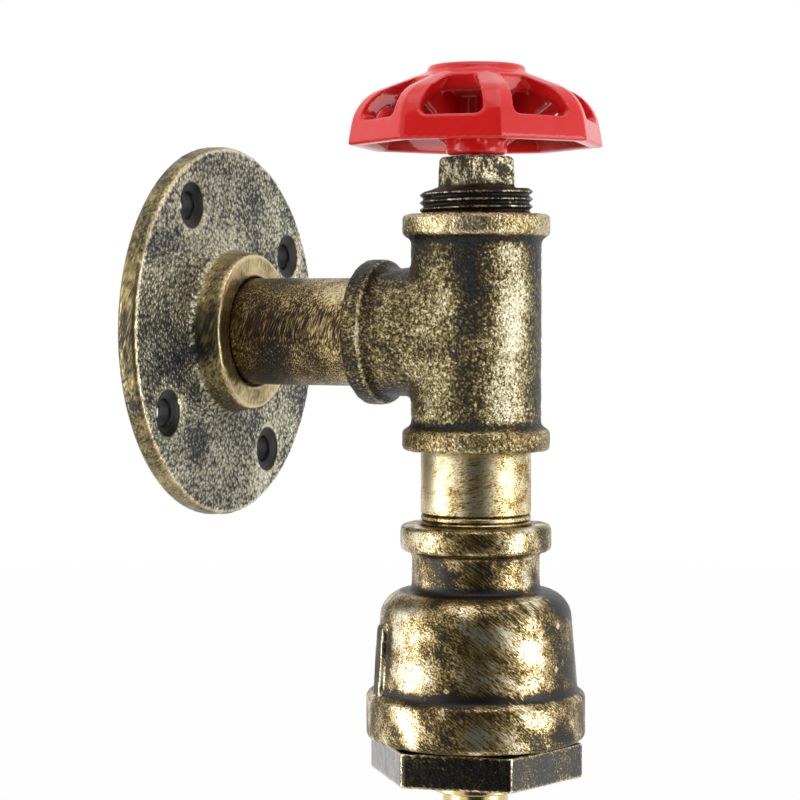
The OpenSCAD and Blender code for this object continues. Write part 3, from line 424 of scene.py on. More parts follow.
# %% Antique brass
def aged_brass(name, tints, grain_mm, grain, depth_mm, patch_mm, patch, stroke_mm, stroke, edge, cover,
               shine, frame_turn=STROKE_FRAME, coat=0, pebbled=0):
    """Black paint under dry-brushed brass.

    Grain, patches and strokes each have a size in mm and a share of the brass that clings to
    them. Edge is the share of edges, cover how much brass there is in all, depth_mm the grain's
    height, shine the roughness of bare brass, and coat a clear lacquer.
    """
    material = bpy.data.materials.new(name)
    material.use_nodes = True
    tree = material.node_tree
    tree.nodes.clear()
    place = add(tree, "ShaderNodeTexCoord", {}, {}).outputs["Object"]
    # The grain. A texture's scale counts cells to a metre, so it is 1 over the size.
    if pebbled:
        cells = add(tree, "ShaderNodeTexVoronoi", {"feature": "SMOOTH_F1"},
                    {"Vector": place, "Scale": 1 / (grain_mm * MM), "Smoothness": 0.5})
        gain = 1.1 - 0.5 * pebbled
        sand = add(tree, "ShaderNodeTexNoise", {},
                   {"Vector": place, "Scale": 1 / (0.5 * grain_mm * MM), "Detail": 2})
        mixed = add(tree, "ShaderNodeMath", {"operation": "MULTIPLY_ADD"},
                    {0: sand.outputs[0], 1: gain, 2: 0.5 - 0.5 * gain + 0.45 * pebbled})
        pebbles = add(tree, "ShaderNodeMath", {"operation": "MULTIPLY_ADD"},
                      {0: cells.outputs["Distance"], 1: -pebbled, 2: mixed.outputs[0]})
    else:
        pebbles = add(tree, "ShaderNodeTexNoise", {},
                      {"Vector": place, "Scale": 1 / (grain_mm * MM), "Detail": 2, "Roughness": 0.6})
    # Patches and strokes, stretched the way that the brush ran. On a rough casting, patches stay round.
    swept = add(tree, "ShaderNodeMapping", {"vector_type": "TEXTURE"},
                {"Vector": place, "Rotation": frame_turn, "Scale": (1 if pebbled else PATCH_STRETCH, 1, 1)})
    patches = add(tree, "ShaderNodeTexNoise", {},
                  {"Vector": swept.outputs[0], "Scale": 1 / (patch_mm * MM), "Detail": 4, "Roughness": 0.62})
    drawn = add(tree, "ShaderNodeMapping", {"vector_type": "TEXTURE"},
                {"Vector": place, "Rotation": frame_turn, "Scale": (STROKE_STRETCH, 1, 1)})
    strokes = add(tree, "ShaderNodeTexNoise", {},
                  {"Vector": drawn.outputs[0], "Scale": 1 / (stroke_mm * MM), "Detail": 3, "Roughness": 0.65})
    # Pointiness is 0.5 on a flat, more on an edge and less in a corner.
    curve = add(tree, "ShaderNodeNewGeometry", {}, {})
    bend = add(tree, "ShaderNodeMapRange", {"clamp": True},
               {"Value": curve.outputs["Pointiness"], "From Min": 0.44, "From Max": 0.56,
                "To Min": -1, "To Max": 1})
    proud = add(tree, "ShaderNodeMath", {"operation": "POWER"}, {0: bend.outputs[0], 1: 3})
    # The sum of all these says how proud a spot is, less its soot and painted shade, which also carries wear
    # and painted highlights.
    soot_wear_and_painted_light = add(tree, "ShaderNodeAttribute", {"attribute_name": "soot_wear_and_painted_light"}, {}).outputs["Fac"]
    sleek = add(tree, "ShaderNodeAttribute", {"attribute_name": "sleek"}, {}).outputs["Fac"]
    rough = add(tree, "ShaderNodeMath", {"operation": "SUBTRACT"}, {0: 1, 1: sleek})
    grainy = add(tree, "ShaderNodeMath", {"operation": "MULTIPLY"}, {0: rough.outputs[0], 1: grain})
    brushed = add(tree, "ShaderNodeMath", {"operation": "MULTIPLY_ADD"}, {0: sleek, 1: 0.45, 2: stroke})
    total = add(tree, "ShaderNodeMath", {"operation": "SUBTRACT"}, {0: cover, 1: soot_wear_and_painted_light})
    for socket, share, middle in ((pebbles.outputs[0], grainy.outputs[0], 0.5),
                                  (patches.outputs[0], patch, 0.5),
                                  (strokes.outputs[0], brushed.outputs[0], 0.5),
                                  (proud.outputs[0], edge, 0)):
        level = add(tree, "ShaderNodeMath", {"operation": "SUBTRACT"}, {0: socket, 1: middle})
        total = add(tree, "ShaderNodeMath", {"operation": "MULTIPLY_ADD"},
                    {0: level.outputs[0], 1: share, 2: total.outputs[0]})
    # Colour, metal and gloss follow that sum.
    colour = add(tree, "ShaderNodeValToRGB", {}, {"Fac": total.outputs[0]})
    ramp = colour.color_ramp
    for element, (position, tint) in zip(ramp.elements, (tints[0], tints[-1])):
        element.position, element.color = position, linear(tint)
    for position, tint in tints[1:-1]:
        ramp.elements.new(position).color = linear(tint)
    warmer = add(tree, "ShaderNodeMix", {"data_type": "RGBA", "blend_type": "MULTIPLY"},
                 {"Factor": sleek, 6: colour.outputs[0], 7: linear("#f4e2be")})
    metal = add(tree, "ShaderNodeMapRange", {},
                {"Value": total.outputs[0], "From Min": 0.32, "From Max": 0.55, "To Min": 0.1, "To Max": 1})
    gloss = add(tree, "ShaderNodeMapRange", {},
                {"Value": total.outputs[0], "From Min": 0.3, "From Max": 0.8,
                 "To Min": shine + 0.1, "To Max": shine})
    relief = add(tree, "ShaderNodeBump", {},
                 {"Height": pebbles.outputs[0], "Strength": rough.outputs[0], "Distance": depth_mm * MM})
    skin = add(tree, "ShaderNodeBsdfPrincipled", {},
               {"Base Color": warmer.outputs[2], "Metallic": metal.outputs[0],
                "Roughness": gloss.outputs[0], "Normal": relief.outputs[0],
                "Specular IOR Level": 0.35, "Coat Weight": coat, "Coat Roughness": 0.06})
    add(tree, "ShaderNodeOutputMaterial", {}, {"Surface": skin.outputs[0]})
    return material


print("a grain of 1 mm has a scale of", round(1 / MM))

# %% Finishes of the fittings
# A brush's hairs leave lines of about 0.1 mm. They are drawn three to five times as wide, to show.
# The flange is a rough sand casting: coarse pebbles, grey where the brush hardly touched it.
plate_bronze = aged_brass("dry_brushed_plate_casting", GREY, grain_mm=1.0, grain=0.7, depth_mm=0.5,
                          patch_mm=15, patch=0.9, stroke_mm=0.5, stroke=0.3, edge=0.3, cover=0.54,
                          shine=0.34, frame_turn=STEEP_FRAME, pebbled=0.85)
# The tee is a finer sand casting, well brushed: a dense sparkle of pale grains on black.
cast_bronze = aged_brass("dry_brushed_sand_casting", PALE, grain_mm=1.0, grain=0.9, depth_mm=0.5,
                         patch_mm=9, patch=0.6, stroke_mm=0.4, stroke=0.5, edge=0.05, cover=0.56,
                         shine=0.28, pebbled=0.35)
# The arm is drawn pipe, brushed across and lightly: brown, with fine upright lines.
arm_bronze = aged_brass("dry_brushed_dark_pipe", RUST, grain_mm=0.4, grain=0.3, depth_mm=0.05,
                        patch_mm=7, patch=1.0, stroke_mm=0.32, stroke=1.9, edge=0.3, cover=0.44,
                        shine=0.36, frame_turn=STEEP_FRAME)
# The drop is drawn pipe too, nearly covered in brass: bright, with level lines.
pipe_bronze = aged_brass("dry_brushed_bright_pipe", PIPE, grain_mm=0.4, grain=0.5, depth_mm=0.04,
                         patch_mm=6, patch=1.2, stroke_mm=0.3, stroke=1.2, edge=0.3, cover=0.73,
                         shine=0.33, frame_turn=LEVEL_FRAME)
# The bell is a smooth casting: slanting brush lines and dark patches between bright ones.
bell_bronze = aged_brass("dry_brushed_smooth_casting", BRASS, grain_mm=0.45, grain=0.45, depth_mm=0.03,
                         patch_mm=6, patch=1.35, stroke_mm=0.27, stroke=1.4, edge=0.3, cover=0.56,
                         shine=0.31)
# The plug's brass is worn by a wrench: black, with bright flecks.
plug_bronze = aged_brass("worn_brass_on_black_plug", DARK, grain_mm=0.55, grain=1.0, depth_mm=0.1,
                         patch_mm=3.0, patch=1.6, stroke_mm=0.4, stroke=0.5, edge=0.3, cover=0.32,
                         shine=0.36)
# The hexagon is blackened iron under a clear lacquer: deep black, with a few scratches of brass.
dark_bronze = aged_brass("blackened_iron_worn_brass", GOLD, grain_mm=0.5, grain=0.7, depth_mm=0.05,
                         patch_mm=7, patch=0.6, stroke_mm=0.3, stroke=1.4, edge=0.3, cover=0.32,
                         shine=0.1, coat=1)
print("finishes:", [m.name for m in (plate_bronze, cast_bronze, arm_bronze, pipe_bronze, bell_bronze,
                                     plug_bronze, dark_bronze)])

# %% [markdown]
# ## Red enamel
# The valve wheel is cast iron under thick gloss paint. The paint fills every corner, so the
# form is soft, and it shows a faint orange peel under a clear, sharp gloss. Under the dome the
# red is painted darker, as painted shade, by a number called inside.

# %% Red enamel
# Gloss enamel gives a strong red body colour under sharp white reflections. The waves of its orange
# peel are about 5 mm long, and its pigment lies in wider clouds.
PEEL_MM, PEEL_DEPTH_MM, PIGMENT_MM = 5, 0.3, 14
red_enamel = bpy.data.materials.new("gloss_red_enamel")
red_enamel.use_nodes = True
tree = red_enamel.node_tree
skin = tree.nodes["Principled BSDF"]
place = add(tree, "ShaderNodeTexCoord", {}, {}).outputs["Object"]
peel = add(tree, "ShaderNodeTexNoise", {}, {"Vector": place, "Scale": 1 / (PEEL_MM * MM), "Detail": 2})
pigment = add(tree, "ShaderNodeTexNoise", {}, {"Vector": place, "Scale": 1 / (PIGMENT_MM * MM), "Detail": 3})
tint = add(tree, "ShaderNodeMix", {"data_type": "RGBA"},
           {"Factor": pigment.outputs[0], 6: linear("#fb1a1b"), 7: linear("#ff2a28")})
relief = add(tree, "ShaderNodeBump", {},
             {"Height": peel.outputs[0], "Strength": 1, "Distance": PEEL_DEPTH_MM * MM})
# Painted shade: under the dome the red is mixed toward a dark red.
inside = add(tree, "ShaderNodeAttribute", {"attribute_name": "inside"}, {})
painted_shade_red = add(tree, "ShaderNodeMix", {"data_type": "RGBA"},
           {"Factor": inside.outputs["Fac"], 6: tint.outputs[2], 7: linear("#8a0a0e")})
tree.links.new(painted_shade_red.outputs[2], skin.inputs["Base Color"])
tree.links.new(relief.outputs[0], skin.inputs["Normal"])
skin.inputs["Roughness"].default_value = 0.4
skin.inputs["Specular IOR Level"].default_value = 0.2
skin.inputs["Coat Weight"].default_value = 0.6
skin.inputs["Coat IOR"].default_value = 1.5
skin.inputs["Coat Roughness"].default_value = 0.04
print("finish:", red_enamel.name)

# %% [markdown]
# ## The metals, plastics and porcelain inside
# The lampholder is turned brass, its screws are zinc plated steel, the switch is moulded
# phenolic, and the parts that touch the bulb sit in glazed porcelain. One function covers them,
# because they differ only in colour, metal, gloss and the size of their fine marks.

# %% Plain finishes
def plain_finish(name, light, dark, metallic, roughness, mark_mm, depth_mm, stretch=(1, 1, 1)):
    """Two close tints in a fine pattern of marks, which also varies the gloss."""
    material = bpy.data.materials.new(name)
    material.use_nodes = True
    tree = material.node_tree
    skin = tree.nodes["Principled BSDF"]
    place = add(tree, "ShaderNodeTexCoord", {}, {}).outputs["Object"]
    drawn = add(tree, "ShaderNodeMapping", {}, {"Vector": place, "Scale": stretch})
    marks = add(tree, "ShaderNodeTexNoise", {},
                {"Vector": drawn.outputs[0], "Scale": 1 / (mark_mm * MM), "Detail": 3})
    tint = add(tree, "ShaderNodeMix", {"data_type": "RGBA"},
               {"Factor": marks.outputs[0], 6: linear(dark), 7: linear(light)})
    gloss = add(tree, "ShaderNodeMapRange", {},
                {"Value": marks.outputs[0], "To Min": roughness - 0.08, "To Max": roughness + 0.08})
    relief = add(tree, "ShaderNodeBump", {},
                 {"Height": marks.outputs[0], "Strength": 0.6, "Distance": depth_mm * MM})
    tree.links.new(tint.outputs[2], skin.inputs["Base Color"])
    tree.links.new(gloss.outputs[0], skin.inputs["Roughness"])
    tree.links.new(relief.outputs[0], skin.inputs["Normal"])
    skin.inputs["Metallic"].default_value = metallic
    return material


# The marks of a lathe run round a piece, so their pattern is squeezed along the axis.
TURNED = (1, 1, 18)
print("lathe marks are squeezed", TURNED[2], "times")

# %% Finishes of the inner pieces
inner = {
    # Turned brass is warm and bright, with fine rings.
    "brass": plain_finish("turned_brass", "#ead8a4", "#c6ab70", metallic=1, roughness=0.24, mark_mm=2,
                          depth_mm=0.01, stretch=TURNED),
    # Zinc plating is a cool pale grey with a soft gloss.
    "zinc_steel": plain_finish("zinc_plated_steel", "#c9cccd", "#a3a7a9", metallic=1, roughness=0.34,
                               mark_mm=1.5, depth_mm=0.01),
    # Moulded phenolic is a dark brown with a dull gloss.
    "phenolic": plain_finish("moulded_phenolic", "#3a2f2a", "#241d1a", metallic=0, roughness=0.42,
                             mark_mm=1, depth_mm=0.02),
    # Glazed porcelain is warm white and wet-looking, and a little uneven.
    "porcelain": plain_finish("glazed_porcelain", "#f2efe6", "#e2ded2", metallic=0, roughness=0.2,
                              mark_mm=6, depth_mm=0.03),
    # Moulded nylon is milky and nearly matt.
    "nylon": plain_finish("moulded_nylon", "#eeece2", "#dcd9cc", metallic=0, roughness=0.5, mark_mm=3,
                          depth_mm=0.02),
    "brushed_bronze": pipe_bronze, "cast_bronze": cast_bronze, "dark_bronze": dark_bronze,
    "red_enamel": red_enamel,
}
# Extruded PVC on the wires is an even colour with a satin gloss.
for colour, light, dark in (("brown", "#6d3d20", "#512b15"), ("blue", "#2c63b5", "#214d92"),
                            ("green", "#4f9a3a", "#3b7c2a")):
    inner[f"{colour}_wire"] = plain_finish(f"{colour}_pvc_insulation", light, dark, metallic=0,
                                           roughness=0.45, mark_mm=4, depth_mm=0.02)
for subpart in frame["record"]["subparts"]:
    shown = frame["nodes"][subpart["node"]]
    shown.data.materials.clear()
    shown.data.materials.append(inner[subpart["material_slot"]])

# %% [markdown]
# ## The wall flange
# A round plate with a raised hub, cast in sand. Its outline is spun, the screw holes are cut with
# a cylinder and a cone, and the remesh rounds every edge as the mould did.

# %% Wall flange
FLANGE_R, PLATE_T, HUB_R, HUB_FACE, PORT_R = 46.85, 5.4, 19.7, 12.7, 13.75
outline = ([(PORT_R - 0.2, 0), (FLANGE_R - 0.8, 0), (FLANGE_R, 0.8)]
           + arc(FLANGE_R - 1.4, PLATE_T - 1.4, 1.4, 0, 90)
           + arc(HUB_R + 2.6, PLATE_T + 1.9, 1.9, 270, 180)
           + arc(HUB_R - 1.1, HUB_FACE - 1.1, 1.1, 0, 90)
           + [(PORT_R + 0.6, HUB_FACE), (PORT_R, HUB_FACE - 0.6), (PORT_R - 0.2, 0)])
flange = turned("cast_wall_flange", outline, steps=160)
HOLE_CIRCLE, HOLE_R, SINK_R, FIRST_HOLE = 36.9, 3.3, 5.9, 122
hole_turns = [math.radians(FIRST_HOLE - 90 * i) for i in range(4)]
cutter = [(0, -2), (HOLE_R, -2), (HOLE_R, PLATE_T - 1.5), (SINK_R - 0.9, PLATE_T - 0.9),
          (SINK_R - 0.2, PLATE_T - 0.4), (SINK_R + 0.6, PLATE_T + 0.6), (0, PLATE_T + 0.6)]
for turn in hole_turns:
    drill = turned("drill", cutter, steps=48)
    settle(drill, MM * HOLE_CIRCLE * Vector((math.cos(turn), math.sin(turn), 0)))
    fuse(flange, drill, "DIFFERENCE")
melt(flange, voxel_mm=0.44)
soften(flange, rounds=4)
print("screw holes:", len(hole_turns), "on a circle of", 2 * HOLE_CIRCLE, "mm")


# %% Marks on the flange
def hole_gap(x, y):
    """Distance to the nearest screw hole's axis."""
    return min(math.hypot(x - HOLE_CIRCLE * math.cos(a), y - HOLE_CIRCLE * math.sin(a))
               for a in hole_turns)


def flange_soot(x, y, z):
    """Black in the screw holes and at the back, pale round each hole, and bright along the edges."""
    r, hole = math.hypot(x, y), hole_gap(x, y)
    sunk = ease(PLATE_T - z, 0.1, 0.6) * ease((SINK_R if z > PLATE_T - 2 else HOLE_R) + 0.6 - hole, 0, 0.6)
    back = ease(0.8 - z, 0, 0.5) * ease(FLANGE_R - 0.6 - r, 0, 0.6)
    halo = ease(9.5 - hole, 0, 3) * (1 - sunk)
    side = ease(z, PLATE_T + 0.6, PLATE_T + 1.6) * ease(r, HUB_R - 0.9, HUB_R - 0.3)
    rim = ease(r, FLANGE_R - 0.7, FLANGE_R - 0.3)
    lines = (worn_line(r, FLANGE_R - 0.8, 0.7) * ease(z, 3, 4)
             + worn_line(r, HUB_R - 0.5, 0.7) * ease(z, 10.5, 11.5)
             + worn_line(r, PORT_R + 0.5, 0.6) * ease(z, 11.4, 12))
    face = ease(z, HUB_FACE - 0.6, HUB_FACE - 0.2)
    return 0.45 * sunk + 0.3 * back - 0.1 * halo + 0.04 * side + 0.02 * rim - 0.26 * lines - 0.12 * face


marked(flange, "soot_wear_and_painted_light", flange_soot)
marked(flange, "sleek", lambda x, y, z: max(ease(math.hypot(x, y), FLANGE_R - 0.9, FLANGE_R - 0.5),
                                            ease(z, PLATE_T + 0.6, PLATE_T + 1.6),
                                            ease(SINK_R + 0.3 - hole_gap(x, y), 0, 0.5) * ease(z, 0.6, 1.2)))
sandy = flange.vertex_groups.new(name="sandy")
away = [v.index for v in flange.data.vertices
        if hole_gap(*(v.co / MM)[:2]) > SINK_R + 0.5 and v.co.z > 0.8 * MM]
sandy.add(away, 1, "REPLACE")
settle(flange, rotation=(math.pi / 2, 0, 0))
lumps(flange, size_mm=2.2, depth_mm=0.3, group="sandy")
lumps(flange, size_mm=0.9, depth_mm=0.14, group="sandy")
dress(flange, "wall_flange", plate_bronze)

# %% [markdown]
# ## The tee
# Three legs with collars meet in one body. Each leg is spun, two more are turned into place,
# and the union is remeshed. Where the branch runs into the body the casting has a wide fillet,
# so the skin near that crossing is smoothed many more times.

# %% Legs of the tee
TEE_R, COLLAR_R, COLLAR_H, TEE_HALF, CORE_R = 15.8, 17.95, 5.3, 28.6, 11.8
FILLET, COLLAR_LOW = 1.8, TEE_HALF - COLLAR_H


def tee_leg(name, start):
    """A leg of the tee along +Z with its collar, still solid."""
    return turned(name, [(0, start), (TEE_R, start)]
                  + arc(TEE_R + FILLET, COLLAR_LOW - FILLET, FILLET, 180, 100)
                  + arc(COLLAR_R - 1, COLLAR_LOW + 1, 1, -80, 0)
                  + arc(COLLAR_R - 1, TEE_HALF - 1, 1, 0, 90) + [(0, TEE_HALF)])


def tee_bore(name, start):
    """The hollow of a leg: a core and a port that opens to its face."""
    return turned(name, [(0, start), (CORE_R, start), (CORE_R, 11.5), (PORT_R - 0.5, 12),
                         (PORT_R, TEE_HALF - 0.8), (PORT_R + 1.5, TEE_HALF + 0.7), (0, TEE_HALF + 0.7)])


print("collars of the tee: from", round(COLLAR_LOW, 1), "to", TEE_HALF, "mm")

# %% Tee
tee = tee_leg("cast_tee", 0)
fuse(tee, settle(tee_leg("low_leg", -1), rotation=(math.pi, 0, 0)))
fuse(tee, settle(tee_leg("branch_leg", 0), rotation=(-math.pi / 2, 0, 0)))
hollow = tee_bore("hollow", 0)
fuse(hollow, settle(tee_bore("low_hollow", -1), rotation=(math.pi, 0, 0)))
fuse(hollow, settle(tee_bore("branch_hollow", 0), rotation=(-math.pi / 2, 0, 0)))
fuse(tee, hollow, "DIFFERENCE")
melt(tee, voxel_mm=0.44)
CROTCH_REACH, CROTCH_END = 4, COLLAR_LOW - 2
crotch = tee.vertex_groups.new(name="crotch")
near = []
for v in tee.data.vertices:
    x, y, z = v.co / MM
    gap = max(abs(math.hypot(x, y) - TEE_R), abs(math.hypot(x, z) - TEE_R))
    if gap < CROTCH_REACH and 0 < y < CROTCH_END and abs(z) < CROTCH_END:
        near.append(v.index)
crotch.add(near, 1, "REPLACE")
soften(tee, rounds=120, group="crotch")
soften(tee, rounds=7)
lumps(tee, size_mm=2.4, depth_mm=0.32)
lumps(tee, size_mm=1.1, depth_mm=0.14)
print("crotch vertices:", len(near))


# %% Marks on the tee
def tee_soot_and_painted_light(x, y, z):
    """A bright upper collar, black in the branch's corners, a painted shadow under the collars, and upright
    bands of painted highlight and painted shade across the view.
    """
    run = ease(abs(z), COLLAR_LOW - 0.6, COLLAR_LOW + 0.4)
    branch = ease(y, COLLAR_LOW - 1.4, COLLAR_LOW + 0.4)
    corner = ease(y, 6, 15) * ease(abs(z), 9, 15) * (1 - run)
    upper = ease(z, 8, 20) * (1 - run)
    # Across the view: a painted highlight in the band right of the middle, and painted shade down the middle
    # (middle), at the left and at the right edge (back).
    right = x * to_right.x + y * to_right.y
    painted_highlight_band = worn_line(right, 8, 5.5) * (1 - run) * (0.55 + 0.45 * worn_line(z, 1, 17))
    middle = worn_line(right, -2, 6) * (1 - run) * (0.5 + 0.5 * ease(z, -4, 12))
    painted_shade_left = ease(-right, 3, 10) * (1 - run)
    back = ease(right, 10.5, 16) * (1 - run)
    # A painted shadow under each collar.
    painted_shadow_under_collars = worn_line(abs(z), COLLAR_LOW - 0.9, 1.6) * ease(COLLAR_R - 0.3 - math.hypot(x, y), 0, 0.6)
    line = worn_line(y, COLLAR_LOW + 0.5, 0.7) * ease(math.hypot(x, z), COLLAR_R - 1.0, COLLAR_R - 0.5)
    return (-0.11 * run * (1 if z > 0 else -0.1) + 0.05 * branch + 0.14 * corner + 0.07 * upper
            - 0.26 * painted_highlight_band + 0.29 * middle + 0.03 * painted_shade_left * ease(z, -16, 0) + 0.22 * back
            + 0.3 * painted_shadow_under_collars + 0.05 * ease(y, 11, 16) - 0.3 * line)


marked(tee, "soot_wear_and_painted_light", tee_soot_and_painted_light)
marked(tee, "sleek", lambda x, y, z: (0.45 if z > 0 else 0.35)
       * ease(abs(z), COLLAR_LOW - 0.6, COLLAR_LOW + 0.4))
settle(tee, COLUMN)
dress(tee, "tee", cast_bronze)

# %% [markdown]
# ## Screw threads
# A thread is one tooth that climbs as it goes round. The Screw modifier sweeps the section of a
# tooth along a helix, and the helix is sunk into a plain core, so that the remesh joins them.

# %% Threads
THREAD_PITCH = 1.81


def helix(name, root_r, crest_r, bottom, turns, steps=64):
    """The tooth of a screw thread, swept up from a height, with closed ends."""
    half = THREAD_PITCH * 0.45
    tooth = begin(name, bpy.ops.mesh.primitive_plane_add, size=MM, enter_editmode=True)
    chain([(root_r - 0.6, -half), (root_r, -half), (crest_r, -0.12), (crest_r, 0.12), (root_r, half),
           (root_r - 0.6, half), (root_r - 0.6, -half)])
    bpy.ops.mesh.select_all(action="SELECT")
    bpy.ops.mesh.remove_doubles(threshold=WELD)
    bpy.ops.object.mode_set(mode="OBJECT")
    modify(tooth, "SCREW", axis="Z", screw_offset=THREAD_PITCH * MM, iterations=turns, steps=steps,
           render_steps=steps, use_merge_vertices=False)
    bpy.ops.object.mode_set(mode="EDIT")
    bpy.ops.mesh.select_all(action="DESELECT")
    bpy.ops.mesh.select_mode(type="VERT")
    bpy.ops.mesh.select_non_manifold()
    bpy.ops.mesh.edge_face_add()
    close_up()
    return settle(tooth, (0, 0, bottom * MM))


print("thread pitch:", THREAD_PITCH, "mm")

# %% [markdown]
# ## The top plug
# A threaded plug with a square head closes the tee, and the wheel's spindle comes up through it.
# The head is a cube whose corners are cut off by a cone, as on a forged plug.

# %% Top plug
PLUG_LOW, THREAD_TOP, HEAD_LOW, HEAD_TOP = 12.1, 33.8, 35.2, 42.6
ROOT_R, CREST_R, HOLLOW_R, BUSH_R = 12.7, 13.75, 9.7, 5.1
plug = turned("threaded_top_plug", [
    (HOLLOW_R, PLUG_LOW), (ROOT_R - 0.6, PLUG_LOW), (ROOT_R, THREAD_TOP - 0.2),
    (ROOT_R - 0.5, THREAD_TOP + 0.3), (9.0, HEAD_LOW + 0.1), (5.8, HEAD_LOW + 0.4),
    (5.8, HEAD_TOP - 0.4), (BUSH_R, HEAD_TOP - 0.4), (BUSH_R, HEAD_LOW - 5),
    (HOLLOW_R, HEAD_LOW - 5), (HOLLOW_R, PLUG_LOW)], steps=96)
HEAD_W, HEAD_CORNER, HEAD_SLOPE, HEAD_TURN = 13.3, 9.5, 0.45, 60
head = turned("head_cone", [(BUSH_R, THREAD_TOP), (HEAD_CORNER, THREAD_TOP), (HEAD_CORNER, HEAD_LOW),
                            (HEAD_CORNER - HEAD_SLOPE, HEAD_TOP - 0.7), (HEAD_CORNER - 1.3, HEAD_TOP),
                            (BUSH_R, HEAD_TOP), (BUSH_R, THREAD_TOP)], steps=96)
# The square is taller than the head, so that only its sides cut.
SQUARE_MID, SQUARE_H = 38, 20
square = begin("head_square", bpy.ops.mesh.primitive_cube_add, size=MM, location=(0, 0, SQUARE_MID * MM))
square.scale = (HEAD_W, HEAD_W, SQUARE_H)
settle(square, square.location, (0, 0, math.radians(HEAD_TURN)))
fuse(head, square, "INTERSECT")
fuse(plug, head)
fuse(plug, helix("plug_thread", ROOT_R, CREST_R, bottom=27.2, turns=4))
melt(plug, voxel_mm=0.27)
soften(plug, rounds=2)
lumps(plug, size_mm=1.4, depth_mm=0.1)
marked(plug, "soot_wear_and_painted_light", lambda x, y, z: 0.16 - 0.37 * ease(z, HEAD_LOW - 0.4, HEAD_LOW + 0.4)
       - 0.24 * ease(math.hypot(x, y), ROOT_R + 0.4, CREST_R) * ease(z, 29, 29.5))
settle(plug, COLUMN)
dress(plug, "top_plug", plug_bronze)

# %% [markdown]
# ## The valve wheel
# An eight-sided dome with a window between each pair of spokes, a boss on top and a hub below.
# Spinning the dome's section in eight steps gives the facets, and each window is a prism that is
# cut out of it. Under each spoke a thin web runs down to the hub. The boss, the hub and the webs
# are only joined, and the remesh melts them in. A longer smoothing stands for thick paint.

# %% Valve wheel
WHEEL_SIDES, WHEEL_TURN, WHEEL_R = 8, 33, 31.5
WHEEL_LOW, RIM_LOW, BOSS_LOW, WHEEL_TOP = 42.9, 45.0, 57.0, 64.5
# The dome's outer and inner skin bend about one centre.
BEND, OUTER_BEND, INNER_BEND = (19.77, 48.2), 11, 6.6
section = ([(WHEEL_R, RIM_LOW)] + arc(*BEND, OUTER_BEND, 10, 69, 10) + [(8.5, 64.2), (8.5, 60.0)]
           + arc(*BEND, INNER_BEND, 69, 10, 10) + [(27.6, RIM_LOW), (WHEEL_R, RIM_LOW)])
wheel = turned("red_valve_wheel", section, steps=WHEEL_SIDES)
half = (arc(5.9, 52.4, 1.6, -90, 0) + [(7.0, 54.8), (6.0, 57.4), (4.4, 59.4)]
        + arc(1.6, 60.4, 1.6, 40, 90))
window = half + [(-x, z) for x, z in reversed(half)]
CUT_LENGTH, CUT_AWAY = 40, 35
for i in range(WHEEL_SIDES):
    cutter = prism(f"window_{i}", window, CUT_LENGTH)
    settle(cutter, (0, -CUT_AWAY * MM, 0))
    settle(cutter, rotation=(0, 0, math.radians(90 + (i + 0.5) * 360 / WHEEL_SIDES)))
    fuse(wheel, cutter, "DIFFERENCE")
print("windows of the wheel:", WHEEL_SIDES)

# %% Boss, hub and webs
SPINDLE_R, RECESS_R, RECESS_LOW, BOSS_R, WHEEL_HUB_R, WEB_T = 3.05, 7.0, 59.5, 11.9, 7.45, 1.6
boss = turned("boss", [(SPINDLE_R, BOSS_LOW), (10.9, BOSS_LOW), (BOSS_R, BOSS_LOW + 1),
                       (BOSS_R, WHEEL_TOP - 0.8), (11.3, WHEEL_TOP), (RECESS_R, WHEEL_TOP),
                       (RECESS_R, RECESS_LOW), (SPINDLE_R, RECESS_LOW), (SPINDLE_R, BOSS_LOW)], steps=96)
hub = turned("hub", [(SPINDLE_R, WHEEL_LOW), (6.9, WHEEL_LOW), (WHEEL_HUB_R, WHEEL_LOW + 0.6),
                     (WHEEL_HUB_R, 57.6), (SPINDLE_R, 57.6), (SPINDLE_R, WHEEL_LOW)], steps=96)
web = [(6.4, 44.8)] + arc(*BEND, 8.8, 60, 69, 2) + [(10.9, 61.0), (10.9, 58), (6.4, 58)]
webs = [settle(prism(f"web_{i}", web, WEB_T), rotation=(0, 0, i * 2 * math.pi / WHEEL_SIDES))
        for i in range(WHEEL_SIDES)]
bpy.ops.object.select_all(action="DESELECT")
for piece in (wheel, boss, hub, *webs):
    piece.select_set(True)
bpy.context.view_layer.objects.active = wheel
bpy.ops.object.join()
settle(wheel, rotation=(0, 0, math.radians(WHEEL_TURN)))
melt(wheel, voxel_mm=0.42)
soften(wheel, rounds=7)
print("webs under the spokes:", len(webs))

# %% Marks on the wheel
# Inside the bend, the dome's outer skin climbs in a straight line.
BEND_TOP, DOME_SLOPE = 59.2, 0.384


# Painted shade: a number that darkens the red well under the dome.
def painted_shade_under_dome(x, y, z):
    """0.6 well under the dome's outer skin, and 0 on it and at the hub's lower end."""
    r = math.hypot(x, y)
    if r > BEND[0]:
        skin_gap = OUTER_BEND - math.hypot(r - BEND[0], z - BEND[1])
    else:
        skin_gap = BEND_TOP + DOME_SLOPE * (BEND[0] - r) - z
    return 0.6 * ease(skin_gap, 2.2, 4) * ease(z, 45.5, 48) * ease(WHEEL_R - 2.2 - r, 0, 1.5)


marked(wheel, "inside", painted_shade_under_dome)
settle(wheel, COLUMN)
dress(wheel, "handwheel", red_enamel)

# %% [markdown]
# ## The pipes
# The arm and the drop are short lengths of pipe, so both are plain outlines that are spun. The
# last turns of the lower thread show above the reducer as two fine grooves. The arm was brushed
# more lightly: it is darker towards the wall.

# %% Arm pipe
PIPE_R, BORE_R, THREAD_R = 13.45, 10.85, 12.6
ARM_LOW, HUB_END, BRANCH_END, ARM_TOP = 5, 12.7, 44.6, 60
